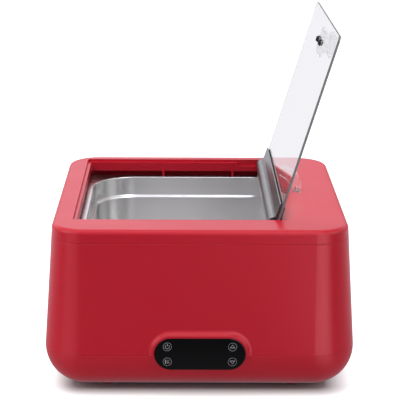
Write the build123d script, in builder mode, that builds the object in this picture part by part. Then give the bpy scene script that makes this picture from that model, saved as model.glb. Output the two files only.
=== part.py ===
"""Electric chafing dish: a heated well, a lift-out pan, a lift-off top cover and a hinged glass lid.

Units are millimetres. +X is to the right, +Y to the back, +Z up. The origin is on the floor, under the
middle of the housing. The lid stands open against its stop, as the dish is shown.
"""

import os
from math import cos, radians, sin, tan

from build123d import *

# Housing: the sizes of the outer form at its top, and its draft
TOP_WIDTH = 375.0
TOP_DEPTH = 398.0
DRAFT = 3.9
FOOT_HEIGHT = 4.5
BASE_HEIGHT = 51.5
BAND_HEIGHT = 144.0
COVER_HEIGHT = 17.0
LOW_CORNER_RADIUS = 54.0
BASE_EDGE_RADIUS = 50.0
COVER_EDGE_RADIUS = 6.5
WALL = 3.0
TONGUE_INSET = 1.6
TONGUE_HEIGHT = 4.0
SEAT_CLEARANCE = 0.3
SEAM_CHAMFER = 0.5

Z_BASE = FOOT_HEIGHT
Z_LOW = Z_BASE + BASE_HEIGHT
Z_HIGH = Z_LOW + BAND_HEIGHT
Z_TOP = Z_HIGH + COVER_HEIGHT
SLOPE = tan(radians(DRAFT))
LOW_WIDTH = TOP_WIDTH + 2 * SLOPE * (Z_TOP - Z_LOW)
LOW_DEPTH = TOP_DEPTH + 2 * SLOPE * (Z_TOP - Z_LOW)

# Opening of the top cover, with the ledge that the closed glass rests on
LIP_LEFT = -162.0
LIP_FRONT = -148.0
LIP_BACK = 180.5
LIP_CORNER = 3.0
LEDGE_WIDTH = 4.6
SKIRT_WALL = 2.5
SKIRT_DEPTH = 16.3
OPEN_LEFT = LIP_LEFT + LEDGE_WIDTH
OPEN_FRONT = LIP_FRONT + LEDGE_WIDTH
OPEN_BACK = LIP_BACK - LEDGE_WIDTH

# Lid hinge: its axis lies along Y, and the open lid leans back by LID_LEAN
HINGE_X = 94.0
HINGE_DROP = 6.0
HINGE_Z = Z_TOP - HINGE_DROP
LID_LEAN = 16.9
BARREL_RADIUS = 8.0
BARREL_HEEL = 6.5
HINGE_SIDE_GAP = 2.4
HINGE_EDGE = HINGE_X + BARREL_RADIUS + HINGE_SIDE_GAP
HINGE_RELIEF_MARGIN = 8.6
PIN_RADIUS = 2.5
PIN_UNDER_GAP = 0.5
HINGE_RELIEF_DEPTH = HINGE_DROP + PIN_RADIUS + PIN_UNDER_GAP
PIN_RUNNING_CLEARANCE = 0.05
PIN_SEAT_CLEARANCE = 0.02
PIN_IN_BARREL = 14.0
PIN_IN_LUG = 9.0
BUSH_WALL = 1.5
BUSH_LENGTH = 12.0
END_CLEARANCE = 0.5
CAP_THICKNESS = 0.9

# Lid glass, seen from the hinge axis: heights run along the glass, offsets run outwards through it
GLASS_THICKNESS = 3.2
GLASS_OFFSET = 2.5
GLASS_START = 5.0
GLASS_EDGE_GAP = 3.0
GLASS_SIDE_GAP = 1.0
GLASS_CORNER = 7.0
GLASS_CHAMFER = 0.5
FLANGE_TOP = 27.0
FLANGE_WALL = 1.5
STRIP_START = 6.0
STRIP_TOP = 24.5
CLAMP_THICKNESS = 1.4
CLAMP_SCREW_HEIGHT = 15.0
CLAMP_SCREW_RADIUS = 1.6
CLAMP_SCREW_SPACING = 126.0
HINGE_RELIEF_WIDTH = HINGE_EDGE - HINGE_X + FLANGE_TOP + HINGE_RELIEF_MARGIN
GLASS_END = HINGE_X - LIP_LEFT - GLASS_EDGE_GAP
GLASS_OUT = GLASS_OFFSET + GLASS_THICKNESS
FLANGE_OUT = GLASS_OFFSET - 1.3
LEDGE_DEPTH = HINGE_DROP - GLASS_OFFSET + SEAT_CLEARANCE
GLASS_MIDDLE_Y = (LIP_FRONT + LIP_BACK) / 2
GLASS_WIDTH = LIP_BACK - LIP_FRONT - 2 * GLASS_SIDE_GAP

# Lid handle, a waisted grip held through the glass by two screws
HANDLE_HEIGHT_ON_GLASS = 220.0
HANDLE_LENGTH = 56.0
HANDLE_FOOT = 36.0
HANDLE_WAIST = 14.0
HANDLE_CAP = 30.0
HANDLE_REACH = 17.0
HANDLE_SCREW_SPACING = 32.0
HANDLE_SCREW_RADIUS = 2.0
HANDLE_HOLE_RADIUS = 3.0
HANDLE_HEAD_RADIUS = 4.0
HANDLE_HEAD_HEIGHT = 2.8
WASHER_RADIUS = 5.6
WASHER_THICKNESS = 0.8

# Condensate trough under the hinge
TROUGH_SHEET = 1.2
TROUGH_BARREL_GAP = 1.5
TROUGH_PAN_GAP = 1.0
TROUGH_LEFT = HINGE_X - BARREL_HEEL + 0.1
TROUGH_TOP_DROP = HINGE_DROP + BARREL_RADIUS + TROUGH_BARREL_GAP
TROUGH_WIDTH = 23.4
TROUGH_FLANGE = 12.0
TROUGH_END_GAP = 3.4
TROUGH_PAD_DROP = 9.0
TROUGH_PAD_SPACING = 116.0

# Clear stop that the open lid leans on
STOP_FOOT_LEFT = 127.0
STOP_FOOT_RIGHT = 138.0
STOP_WIDTH = 14.0
STOP_LOW = 32.0
STOP_HIGH = 42.0
STOP_Y = -2.0
STOP_GAP = 0.3
STOP_SCREW_RADIUS = 1.5

# Serving pan: a two-thirds gastronorm pan, 100 mm deep
PAN_WIDTH = 325.0
PAN_LENGTH = 354.0
PAN_DEPTH = 100.0
PAN_FLANGE = 11.5
PAN_SHEET = 0.8
PAN_RIM_SHEET = 1.2
PAN_FLANGE_CORNER = 16.0
PAN_INNER_CORNER = 58.0
PAN_SHOULDER_DROP = 29.0
PAN_SHOULDER_STEP = 4.5
PAN_SHOULDER_EDGE = 2.4
PAN_SHOULDER_COVE = 1.6
PAN_TAPER = 2.0
PAN_FLOOR_RADIUS = 14.0
PAN_Y = 8.7
PAN_RIM_DROP = 25.0
TROUGH_BOTTOM_DROP = PAN_RIM_DROP - TROUGH_PAN_GAP
Z_RIM = Z_TOP - PAN_RIM_DROP

# Heated well that the pan hangs in
WELL_SHEET = 0.8
WELL_CLEARANCE = 3.0
WELL_FLANGE_MARGIN = 3.0
WELL_FLOOR_GAP = 6.0
WELL_FLOOR_RADIUS = 12.0
DECK_THICKNESS = 2.5
DECK_CLEARANCE = 1.0
Z_DECK = Z_RIM - PAN_RIM_SHEET - WELL_SHEET
Z_WELL_FLOOR = Z_RIM - PAN_DEPTH - WELL_FLOOR_GAP
WELL_WIDTH = PAN_WIDTH - 2 * PAN_FLANGE + 2 * WELL_CLEARANCE
WELL_LENGTH = PAN_LENGTH - 2 * PAN_FLANGE + 2 * WELL_CLEARANCE
WELL_CORNER = PAN_INNER_CORNER + WELL_CLEARANCE

# Heater under the well
PLATE_SIDE_MARGIN = 36.0
PLATE_END_MARGIN = 36.5
PLATE_WIDTH = WELL_WIDTH - 2 * PLATE_SIDE_MARGIN
PLATE_LENGTH = WELL_LENGTH - 2 * PLATE_END_MARGIN
PLATE_THICKNESS = 3.0
ELEMENT_RADIUS = 3.25
ELEMENT_LOOP_WIDTH = PLATE_WIDTH - 46.0
ELEMENT_LOOP_LENGTH = PLATE_LENGTH - 50.0
ELEMENT_CORNER = 30.0
ELEMENT_GAP = 44.0
ELEMENT_TAIL = 42.0
PLATE_CORNER = 40.0
CLIP_SHEET = 1.2
CLIP_WIDTH = 12.0
SHIELD_MARGIN = 13.0
SHIELD_WIDTH = PLATE_WIDTH + 2 * SHIELD_MARGIN
SHIELD_LENGTH = PLATE_LENGTH + 2 * SHIELD_MARGIN
SHIELD_SHEET = 0.6
SHIELD_DEPTH = 12.0
STUD_RADIUS = 3.0
SHIELD_SCREW_RADIUS = 1.5
SHIELD_SCREW_LENGTH = 7.0
GROMMET_LIP = 1.2
GROMMET_BORE = 3.2
Z_PLATE = Z_WELL_FLOOR - WELL_SHEET - PLATE_THICKNESS

# Control panel on the front, centred on the lower seam
PANEL_Z = Z_LOW + 3.5
PANEL_PROUD = 3.0
PANEL_FLARE = 36.0
PANEL_BLEND = 6.0
PANEL_EDGE = 1.4
PANEL_DEPTH = 15.0
SURROUND_LENGTH = 121.0
SURROUND_HEIGHT = 48.0
LENS_LENGTH = 115.0
LENS_HEIGHT = 41.6
LENS_THICKNESS = 2.5
LENS_GAP = 0.3
WINDOW_MARGIN = 5.5
BOARD_THICKNESS = 1.6
TOUCH_BOARD_LENGTH = 86.0
TOUCH_BOARD_HEIGHT = 25.0
DISPLAY_LENGTH = 40.0
DISPLAY_HEIGHT = 16.0
DISPLAY_THICKNESS = 4.5
Y_PANEL = -(LOW_DEPTH / 2 + PANEL_PROUD)

# Mains inlet on the back
INLET_X = 108.0
INLET_Z = 77.0
INLET_PAD_LENGTH = 62.0
INLET_PAD_HEIGHT = 36.0
INLET_FLANGE_LENGTH = 50.0
INLET_FLANGE_HEIGHT = 26.0
INLET_FLANGE_CORNER = 3.0
INLET_FLANGE = 2.4
INLET_BODY_LENGTH = 28.0
INLET_BODY_HEIGHT = 21.0
INLET_BODY_DEPTH = 26.0
INLET_SOCKET_LENGTH = 24.4
INLET_SOCKET_HEIGHT = 16.6
INLET_SOCKET_DEPTH = 17.0
INLET_SCREW_SPACING = 40.0
INLET_TAB_LENGTH = 8.0
INLET_TAB_SPACING = 8.0
INLET_CUT_CLEARANCE = 0.4
Y_INLET = LOW_DEPTH / 2 + PANEL_PROUD

# Screws, feet and the electronics in the base
BOSS_X = 172.0
BOSS_Y = 146.0
BOSS_RADIUS = 6.0
SHELL_SCREW_RADIUS = 2.0
SHELL_SCREW_HEAD = 3.8
SHELL_SCREW_RECESS = 16.0
SHELL_SCREW_GRIP = 22.0
FOOT_X = 119.5
FOOT_Y = 151.0
FOOT_RADIUS = 14.0
FOOT_SCREW_RADIUS = 1.75
POWER_BOARD_WIDTH = 120.0
POWER_BOARD_LENGTH = 80.0
POWER_BOARD_X = 40.0
POWER_BOARD_Y = -70.0
STANDOFF_HEIGHT = 6.0
STANDOFF_RADIUS = 4.0
BOARD_SCREW_RADIUS = 1.4
BOARD_SCREW_MARGIN = 6.0
BOARD_SCREW_SPAN_X = POWER_BOARD_WIDTH - 2 * BOARD_SCREW_MARGIN
BOARD_SCREW_SPAN_Y = POWER_BOARD_LENGTH - 2 * BOARD_SCREW_MARGIN
VENT_WIDTH = 3.0
VENT_LENGTH = 44.0
VENT_PITCH = 9.0
VENT_COUNT = 7
FOOT_BOSS_RADIUS = 4.5
FOOT_BOSS_HEIGHT = 6.0
Z_FLOOR = Z_BASE + WALL
Z_BOARD = Z_FLOOR + STANDOFF_HEIGHT
Z_BOARD_TOP = Z_BOARD + BOARD_THICKNESS

# Wiring inside the base
WIRE_RADIUS = 1.3
SIGNAL_WIRE_RADIUS = 0.8
WIRE_BEND = 8.0
TERMINAL_X = 38.0
TERMINAL_Y = -14.0
TERMINAL_PITCH = 7.0
TERMINAL_COUNT = 5
TERMINAL_HEIGHT = 12.0
LEAD_DROP_Y = PAN_Y - 45.0
LEAD_HOLE_RADIUS = 5.0
Z_WIRE_LOW = 44.0
Z_WIRE_HIGH = 49.0
HEADER_X = -52.0
HEADER_Y = 10.0
HEADER_HEIGHT = 7.0
SENSOR_Y = PAN_Y - 55.0
SENSOR_HEIGHT = 7.0
RIBBON_X = 30.0
RIBBON_WIDTH = 12.0
RIBBON_THICKNESS = 0.8
RIBBON_HEADER_Y = -33.0
Z_RIBBON = 50.0

LEAN = radians(LID_LEAN)
LID_OUT = Vector(cos(LEAN), 0, -sin(LEAN))
LID_UP = Vector(sin(LEAN), 0, cos(LEAN))
LID_FACE = Plane(origin=(HINGE_X, 0, HINGE_Z), x_dir=(0, 1, 0), z_dir=LID_OUT)


def section_plane(y):
    """An upright plane across the dish at y: its x is X and its y is Z, and it extrudes towards the front."""
    return Plane(origin=(0, y, 0), x_dir=(1, 0, 0), z_dir=(0, -1, 0))


def lid_section_plane(y):
    """The same for the open lid: its origin is the hinge axis, its x runs out through the glass."""
    return Plane(origin=(HINGE_X, y, HINGE_Z), x_dir=LID_OUT, z_dir=(0, -1, 0))


def drafted_block(z_low, z_high, inset):
    """The tapering outer form between two heights, drawn in by inset."""
    shrink = SLOPE * (z_low - Z_LOW) + inset
    with BuildPart() as block:
        with BuildSketch(Plane.XY.offset(z_low)):
            RectangleRounded(LOW_WIDTH - 2 * shrink, LOW_DEPTH - 2 * shrink, LOW_CORNER_RADIUS - shrink)
        extrude(amount=z_high - z_low, taper=DRAFT)
    return block.part


def base_block(inset):
    """The bowl-edged form of the base, drawn in by inset."""
    with BuildPart() as block:
        with BuildSketch(Plane.XY.offset(Z_BASE + inset)):
            RectangleRounded(LOW_WIDTH - 2 * inset, LOW_DEPTH - 2 * inset, LOW_CORNER_RADIUS - inset)
        extrude(amount=BASE_HEIGHT - inset)
        fillet(block.faces().sort_by(Axis.Z)[0].edges(), BASE_EDGE_RADIUS - inset)
    return block.part


def tongue_ring(z_low, overlap):
    """The ring that stands up from a shell's edge and locates the piece above it."""
    with BuildPart() as ring:
        add(drafted_block(z_low - overlap, z_low + TONGUE_HEIGHT, TONGUE_INSET))
        add(drafted_block(z_low - overlap, z_low + TONGUE_HEIGHT, WALL), mode=Mode.SUBTRACT)
    return ring.part


def tongue_groove(z_low):
    """The space that a tongue and its clearance take from the wall above."""
    with BuildPart() as groove:
        add(drafted_block(z_low, z_low + TONGUE_HEIGHT + SEAT_CLEARANCE, TONGUE_INSET - SEAT_CLEARANCE))
        add(drafted_block(z_low, z_low + TONGUE_HEIGHT + SEAT_CLEARANCE, WALL), mode=Mode.SUBTRACT)
    return groove.part


def panel_plane(y):
    """A plane facing the front at the control panel's middle."""
    return Plane(origin=(0, y, PANEL_Z), x_dir=(1, 0, 0), z_dir=(0, -1, 0))


def inlet_plane(y):
    """A plane facing the back at the mains inlet's middle."""
    return Plane(origin=(INLET_X, y, INLET_Z), x_dir=(-1, 0, 0), z_dir=(0, 1, 0))


def panel_surround():
    """The flared boss round the control lens, before the shells are cut apart at the seam."""
    with BuildPart() as boss:
        with BuildSketch(panel_plane(Y_PANEL)):
            SlotOverall(SURROUND_LENGTH, SURROUND_HEIGHT)
        extrude(amount=-PANEL_DEPTH, taper=-PANEL_FLARE)
        fillet(boss.faces().sort_by(Axis.Y)[0].edges(), PANEL_EDGE)
    return boss.part


def housing_form():
    """The outer form of base and band in one, with the boss of the control panel blended into its front."""
    reach = SURROUND_LENGTH / 2 + PANEL_DEPTH
    with BuildPart() as form:
        add(base_block(0))
        add(drafted_block(Z_LOW, Z_HIGH, 0))
        plain = form.edges()
        add(panel_surround())
        front = Y_PANEL + PANEL_EDGE + 0.1
        behind_front = form.edges().filter_by_position(Axis.Y, front, Y_PANEL + PANEL_DEPTH)
        beside_panel = behind_front.filter_by_position(Axis.X, -reach, reach)
        joint_line = beside_panel.filter_by_position(Axis.Z, PANEL_Z - reach / 2, PANEL_Z + reach / 2)
        fillet([edge for edge in joint_line if edge not in plain], PANEL_BLEND)
    return form.part


def panel_pocket():
    """The lens recess and the window behind it."""
    with BuildPart() as pocket:
        with BuildSketch(panel_plane(Y_PANEL)):
            SlotOverall(LENS_LENGTH + 2 * LENS_GAP, LENS_HEIGHT + 2 * LENS_GAP)
        extrude(amount=-LENS_THICKNESS)
        with BuildSketch(panel_plane(Y_PANEL)):
            SlotOverall(LENS_LENGTH - 2 * WINDOW_MARGIN, LENS_HEIGHT - 2 * WINDOW_MARGIN)
        extrude(amount=-2 * PANEL_DEPTH)
    return pocket.part


def screw_body(x, y, z, up, shank_radius, shank_length, head_radius, head_height):
    """A pan-head screw whose head rests on z; up is 1 with the shank upwards and -1 with it downwards."""
    with BuildPart() as screw:
        with BuildSketch(Plane.XY.offset(z)):
            with Locations((x, y)):
                Circle(shank_radius)
        extrude(amount=up * shank_length)
        with BuildSketch(Plane.XY.offset(z)):
            with Locations((x, y)):
                Circle(head_radius)
        extrude(amount=-up * head_height)
        fillet(screw.faces().sort_by(Axis.Z)[0 if up > 0 else -1].edges(), head_height * 0.4)
    return screw.part


def make_base_shell():
    """The bottom of the housing, with its tongue, screw posts, board standoffs and vents."""
    with BuildPart() as base_shell:
        add(housing_form())
        split(bisect_by=Plane.XY.offset(Z_LOW), keep=Keep.BOTTOM)
        chamfer(base_shell.faces().sort_by(Axis.Z)[-1].edges(), SEAM_CHAMFER)
        add(base_block(WALL), mode=Mode.SUBTRACT)
        add(tongue_ring(Z_LOW, 0.0))
        with BuildSketch(Plane.XY.offset(Z_BASE)):
            with GridLocations(2 * BOSS_X, 2 * BOSS_Y, 2, 2):
                Circle(BOSS_RADIUS)
        extrude(amount=BASE_HEIGHT)
        add(outside_base(), mode=Mode.SUBTRACT)
        with BuildSketch(Plane.XY.offset(Z_BASE)):
            with GridLocations(2 * BOSS_X, 2 * BOSS_Y, 2, 2):
                Circle(SHELL_SCREW_RADIUS + SEAT_CLEARANCE)
        extrude(amount=BASE_HEIGHT, mode=Mode.SUBTRACT)
        with BuildSketch(Plane.XY.offset(Z_BASE)):
            with GridLocations(2 * BOSS_X, 2 * BOSS_Y, 2, 2):
                Circle(SHELL_SCREW_HEAD + SEAT_CLEARANCE)
        extrude(amount=SHELL_SCREW_RECESS, mode=Mode.SUBTRACT)
        add(panel_pocket(), mode=Mode.SUBTRACT)
        with BuildSketch(Plane.XY.offset(Z_FLOOR)):
            with GridLocations(2 * FOOT_X, 2 * FOOT_Y, 2, 2):
                Circle(FOOT_BOSS_RADIUS)
        extrude(amount=FOOT_BOSS_HEIGHT)
        with BuildSketch(Plane.XY.offset(Z_BASE)):
            with GridLocations(2 * FOOT_X, 2 * FOOT_Y, 2, 2):
                Circle(FOOT_SCREW_RADIUS)
        extrude(amount=WALL + FOOT_BOSS_HEIGHT, mode=Mode.SUBTRACT)
        with BuildSketch(Plane.XY.offset(Z_FLOOR)):
            with Locations((POWER_BOARD_X, POWER_BOARD_Y)):
                with GridLocations(BOARD_SCREW_SPAN_X, BOARD_SCREW_SPAN_Y, 2, 2):
                    Circle(STANDOFF_RADIUS)
                    Circle(BOARD_SCREW_RADIUS, mode=Mode.SUBTRACT)
        extrude(amount=STANDOFF_HEIGHT)
        with BuildSketch(Plane.XY.offset(Z_BASE)):
            with Locations((-80, 0), (-80, 70)):
                with GridLocations(0, VENT_PITCH, 1, VENT_COUNT):
                    SlotOverall(VENT_LENGTH, VENT_WIDTH)
        extrude(amount=WALL, mode=Mode.SUBTRACT)
    return base_shell.part


def outside_base():
    """Everything round the base's outer form, to trim what would stand out through it."""
    with BuildPart() as around:
        with BuildSketch(Plane.XY.offset(Z_BASE)):
            Rectangle(2 * LOW_WIDTH, 2 * LOW_DEPTH)
        extrude(amount=BASE_HEIGHT)
        add(base_block(0), mode=Mode.SUBTRACT)
    return around.part


def make_middle_shell():
    """The tall band of the housing, with the deck that carries the well and the pad for the inlet."""
    deck_hole_width = WELL_WIDTH + 2 * WELL_SHEET + 2 * DECK_CLEARANCE
    deck_hole_length = WELL_LENGTH + 2 * WELL_SHEET + 2 * DECK_CLEARANCE
    rib_length = LOW_WIDTH / 2 - WALL * 0.9 - BOSS_X
    rib_middle = BOSS_X + rib_length / 2
    with BuildPart() as middle_shell:
        add(housing_form())
        split(bisect_by=Plane.XY.offset(Z_LOW), keep=Keep.TOP)
        chamfer(middle_shell.faces().sort_by(Axis.Z)[0].edges(), SEAM_CHAMFER)
        chamfer(middle_shell.faces().sort_by(Axis.Z)[-1].edges(), SEAM_CHAMFER)
        add(inlet_pad())
        add(drafted_block(Z_LOW, Z_DECK - DECK_THICKNESS, WALL), mode=Mode.SUBTRACT)
        add(drafted_block(Z_DECK, Z_HIGH, WALL), mode=Mode.SUBTRACT)
        add(tongue_groove(Z_LOW), mode=Mode.SUBTRACT)
        add(tongue_ring(Z_HIGH, 0.0))
        with BuildSketch(Plane.XY.offset(Z_DECK)):
            with Locations((0, PAN_Y)):
                RectangleRounded(deck_hole_width, deck_hole_length, WELL_CORNER)
        extrude(amount=-DECK_THICKNESS, mode=Mode.SUBTRACT)
        with BuildSketch(Plane.XY.offset(Z_LOW)):
            with GridLocations(2 * BOSS_X, 2 * BOSS_Y, 2, 2):
                Circle(BOSS_RADIUS)
            for side in (-1, 1):
                with Locations((side * rib_middle, -BOSS_Y), (side * rib_middle, BOSS_Y)):
                    Rectangle(rib_length, WALL)
        extrude(amount=SHELL_SCREW_GRIP + WALL)
        add(tongue_groove(Z_LOW), mode=Mode.SUBTRACT)
        with BuildSketch(Plane.XY.offset(Z_LOW)):
            with GridLocations(2 * BOSS_X, 2 * BOSS_Y, 2, 2):
                Circle(SHELL_SCREW_RADIUS + PIN_RUNNING_CLEARANCE)
        extrude(amount=SHELL_SCREW_GRIP, mode=Mode.SUBTRACT)
        add(panel_pocket(), mode=Mode.SUBTRACT)
        add(inlet_cutout(), mode=Mode.SUBTRACT)
    return middle_shell.part


def inlet_pad():
    """The raised pad that the mains inlet is set into."""
    with BuildPart() as pad:
        with BuildSketch(inlet_plane(Y_INLET)):
            RectangleRounded(INLET_PAD_LENGTH, INLET_PAD_HEIGHT, INLET_PAD_HEIGHT / 4)
        extrude(amount=-PANEL_DEPTH, taper=-PANEL_FLARE / 2)
        fillet(pad.faces().sort_by(Axis.Y)[-1].edges(), PANEL_EDGE)
        split(bisect_by=Plane.XY.offset(Z_LOW), keep=Keep.TOP)
    return pad.part


def inlet_cutout():
    """The recess, window and screw holes for the mains inlet."""
    play = 2 * INLET_CUT_CLEARANCE
    with BuildPart() as cutout:
        with BuildSketch(inlet_plane(Y_INLET)):
            RectangleRounded(INLET_FLANGE_LENGTH + play, INLET_FLANGE_HEIGHT + play, INLET_FLANGE_CORNER)
        extrude(amount=-INLET_FLANGE)
        with BuildSketch(inlet_plane(Y_INLET)):
            Rectangle(INLET_BODY_LENGTH + play, INLET_BODY_HEIGHT + play)
        extrude(amount=-2 * PANEL_DEPTH)
        with BuildSketch(inlet_plane(Y_INLET)):
            with GridLocations(INLET_SCREW_SPACING, 0, 2, 1):
                Circle(BOARD_SCREW_RADIUS + PIN_RUNNING_CLEARANCE)
        extrude(amount=-2 * PANEL_DEPTH)
    return cutout.part


def make_top_cover():
    """The lift-off frame: a rounded plate with the serving opening, its ledge, skirt and hinge lugs."""
    lip_width = HINGE_EDGE - LIP_LEFT
    lip_depth = LIP_BACK - LIP_FRONT
    lip_centre = ((HINGE_EDGE + LIP_LEFT) / 2, (LIP_BACK + LIP_FRONT) / 2)
    open_width = HINGE_EDGE - OPEN_LEFT
    open_depth = OPEN_BACK - OPEN_FRONT
    open_centre = ((HINGE_EDGE + OPEN_LEFT) / 2, (OPEN_BACK + OPEN_FRONT) / 2)
    ledge_block = HINGE_RELIEF_DEPTH + SKIRT_WALL
    with BuildPart() as top_cover:
        add(drafted_block(Z_HIGH, Z_TOP, 0))
        fillet(top_cover.faces().sort_by(Axis.Z)[-1].edges(), COVER_EDGE_RADIUS)
        chamfer(top_cover.faces().sort_by(Axis.Z)[0].edges(), SEAM_CHAMFER)
        add(drafted_block(Z_HIGH, Z_TOP - WALL, WALL), mode=Mode.SUBTRACT)
        add(tongue_groove(Z_HIGH), mode=Mode.SUBTRACT)
        with BuildSketch(Plane.XY.offset(Z_TOP - ledge_block)):
            with Locations((lip_centre[0] - SKIRT_WALL / 2, lip_centre[1])):
                RectangleRounded(lip_width + SKIRT_WALL, lip_depth + 2 * SKIRT_WALL, LIP_CORNER)
        extrude(amount=ledge_block - WALL)
        with BuildSketch(Plane.XY.offset(Z_TOP - SKIRT_DEPTH)):
            with Locations((open_centre[0] - SKIRT_WALL / 2, open_centre[1])):
                RectangleRounded(open_width + SKIRT_WALL, open_depth + 2 * SKIRT_WALL, LIP_CORNER)
        extrude(amount=SKIRT_DEPTH - WALL)
        add(cover_pads())
        with BuildSketch(Plane.XY.offset(Z_TOP)) as lip:
            with Locations(lip_centre):
                Rectangle(lip_width, lip_depth)
            fillet(lip.vertices().group_by(Axis.X)[0], LIP_CORNER)
        extrude(amount=-LEDGE_DEPTH, mode=Mode.SUBTRACT)
        with BuildSketch(Plane.XY.offset(Z_TOP)):
            with Locations((HINGE_EDGE - HINGE_RELIEF_WIDTH / 2, lip_centre[1])):
                Rectangle(HINGE_RELIEF_WIDTH, lip_depth)
        extrude(amount=-HINGE_RELIEF_DEPTH, mode=Mode.SUBTRACT)
        with BuildSketch(Plane.XY.offset(Z_TOP)) as opening:
            with Locations(open_centre):
                Rectangle(open_width, open_depth)
            fillet(opening.vertices().group_by(Axis.X)[0], SKIRT_WALL)
        extrude(amount=-SKIRT_DEPTH, mode=Mode.SUBTRACT)
        with BuildSketch(section_plane(LIP_BACK + PIN_IN_LUG)):
            with Locations((HINGE_X, HINGE_Z)):
                Circle(PIN_RADIUS + PIN_SEAT_CLEARANCE)
        extrude(amount=LIP_BACK - LIP_FRONT + 2 * PIN_IN_LUG, mode=Mode.SUBTRACT)
        with BuildSketch(Plane.XY.offset(Z_TOP)):
            with Locations((stop_foot_middle(), STOP_Y)):
                Circle(STOP_SCREW_RADIUS + PIN_RUNNING_CLEARANCE)
        extrude(amount=-WALL, mode=Mode.SUBTRACT)
        with BuildSketch(Plane.XY.offset(Z_TOP - TROUGH_PAD_DROP)):
            with Locations((trough_flange_middle(), GLASS_MIDDLE_Y)):
                with GridLocations(0, TROUGH_PAD_SPACING, 1, 3):
                    Circle(BOARD_SCREW_RADIUS)
        extrude(amount=TROUGH_PAD_DROP - WALL, mode=Mode.SUBTRACT)
    return top_cover.part


def stop_foot_middle():
    """Where the lid stop's screw stands, along X."""
    return (STOP_FOOT_LEFT + STOP_FOOT_RIGHT) / 2


def trough_flange_middle():
    """The middle of the trough's fixing flange, along X."""
    return TROUGH_LEFT + TROUGH_WIDTH + TROUGH_FLANGE / 2


def cover_pads():
    """What hangs under the cover's plate: hinge lugs, trough pads and the tabs that hold the pan down."""
    tab_drop = PAN_RIM_DROP - SEAT_CLEARANCE
    lug_depth = PIN_IN_LUG + SKIRT_WALL
    tab = (3.0, 6.0)
    far_tab_x = PAN_WIDTH / 2 - PAN_FLANGE / 2
    with BuildPart() as pads:
        with BuildSketch(Plane.XY.offset(Z_TOP - 2 * HINGE_DROP - 1)):
            with Locations(
                (HINGE_X, LIP_FRONT - lug_depth / 2),
                (HINGE_X, LIP_BACK + lug_depth / 2),
            ):
                Rectangle(2 * BARREL_RADIUS, lug_depth)
        extrude(amount=2 * HINGE_DROP + 1 - WALL)
        with BuildSketch(Plane.XY.offset(Z_TOP - TROUGH_PAD_DROP)):
            with Locations((trough_flange_middle(), GLASS_MIDDLE_Y)):
                with GridLocations(0, TROUGH_PAD_SPACING, 1, 3):
                    Rectangle(TROUGH_FLANGE - 2, 16)
        extrude(amount=TROUGH_PAD_DROP - WALL)
        with BuildSketch(Plane.XY.offset(Z_TOP - tab_drop)):
            with Locations((-51, OPEN_BACK + tab[1] / 2), (51, OPEN_BACK + tab[1] / 2)):
                Rectangle(*tab)
            with Locations((OPEN_LEFT - tab[1] / 2, -60), (OPEN_LEFT - tab[1] / 2, 76)):
                Rectangle(tab[1], tab[0])
            with Locations((far_tab_x, -60), (far_tab_x, 76)):
                Rectangle(tab[1], tab[0])
        extrude(amount=tab_drop - WALL)
    return pads.part


def make_lid_glass():
    """The toughened glass, in the plane of the open lid, with its screw holes."""
    height = GLASS_END - GLASS_START
    with BuildPart() as lid_glass:
        with BuildSketch(LID_FACE.offset(GLASS_OFFSET)) as face:
            with Locations((GLASS_MIDDLE_Y, GLASS_START + height / 2)):
                Rectangle(GLASS_WIDTH, height)
            fillet(face.vertices().group_by(Axis.Z)[-1], GLASS_CORNER)
            with Locations((GLASS_MIDDLE_Y, HANDLE_HEIGHT_ON_GLASS)):
                with GridLocations(HANDLE_SCREW_SPACING, 0, 2, 1):
                    Circle(HANDLE_HOLE_RADIUS, mode=Mode.SUBTRACT)
            with Locations((GLASS_MIDDLE_Y, CLAMP_SCREW_HEIGHT)):
                with GridLocations(CLAMP_SCREW_SPACING, 0, 3, 1):
                    Circle(HANDLE_HOLE_RADIUS, mode=Mode.SUBTRACT)
        extrude(amount=GLASS_THICKNESS)
        side_edges = lid_glass.faces().filter_by(Plane.XZ).edges()
        chamfer(side_edges.filter_by(Axis(LID_FACE.origin, LID_UP)), GLASS_CHAMFER)
    return lid_glass.part


def glass_rebate(y, depth):
    """The corner of the hinge bar that the glass and its strips stand in, forwards from y."""
    with BuildPart() as rebate:
        with BuildSketch(lid_section_plane(y)):
            with Locations((FLANGE_OUT, GLASS_START)):
                Rectangle(2 * BARREL_RADIUS, FLANGE_TOP, align=(Align.MIN, Align.MIN))
        extrude(amount=depth)
    return rebate.part


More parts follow.
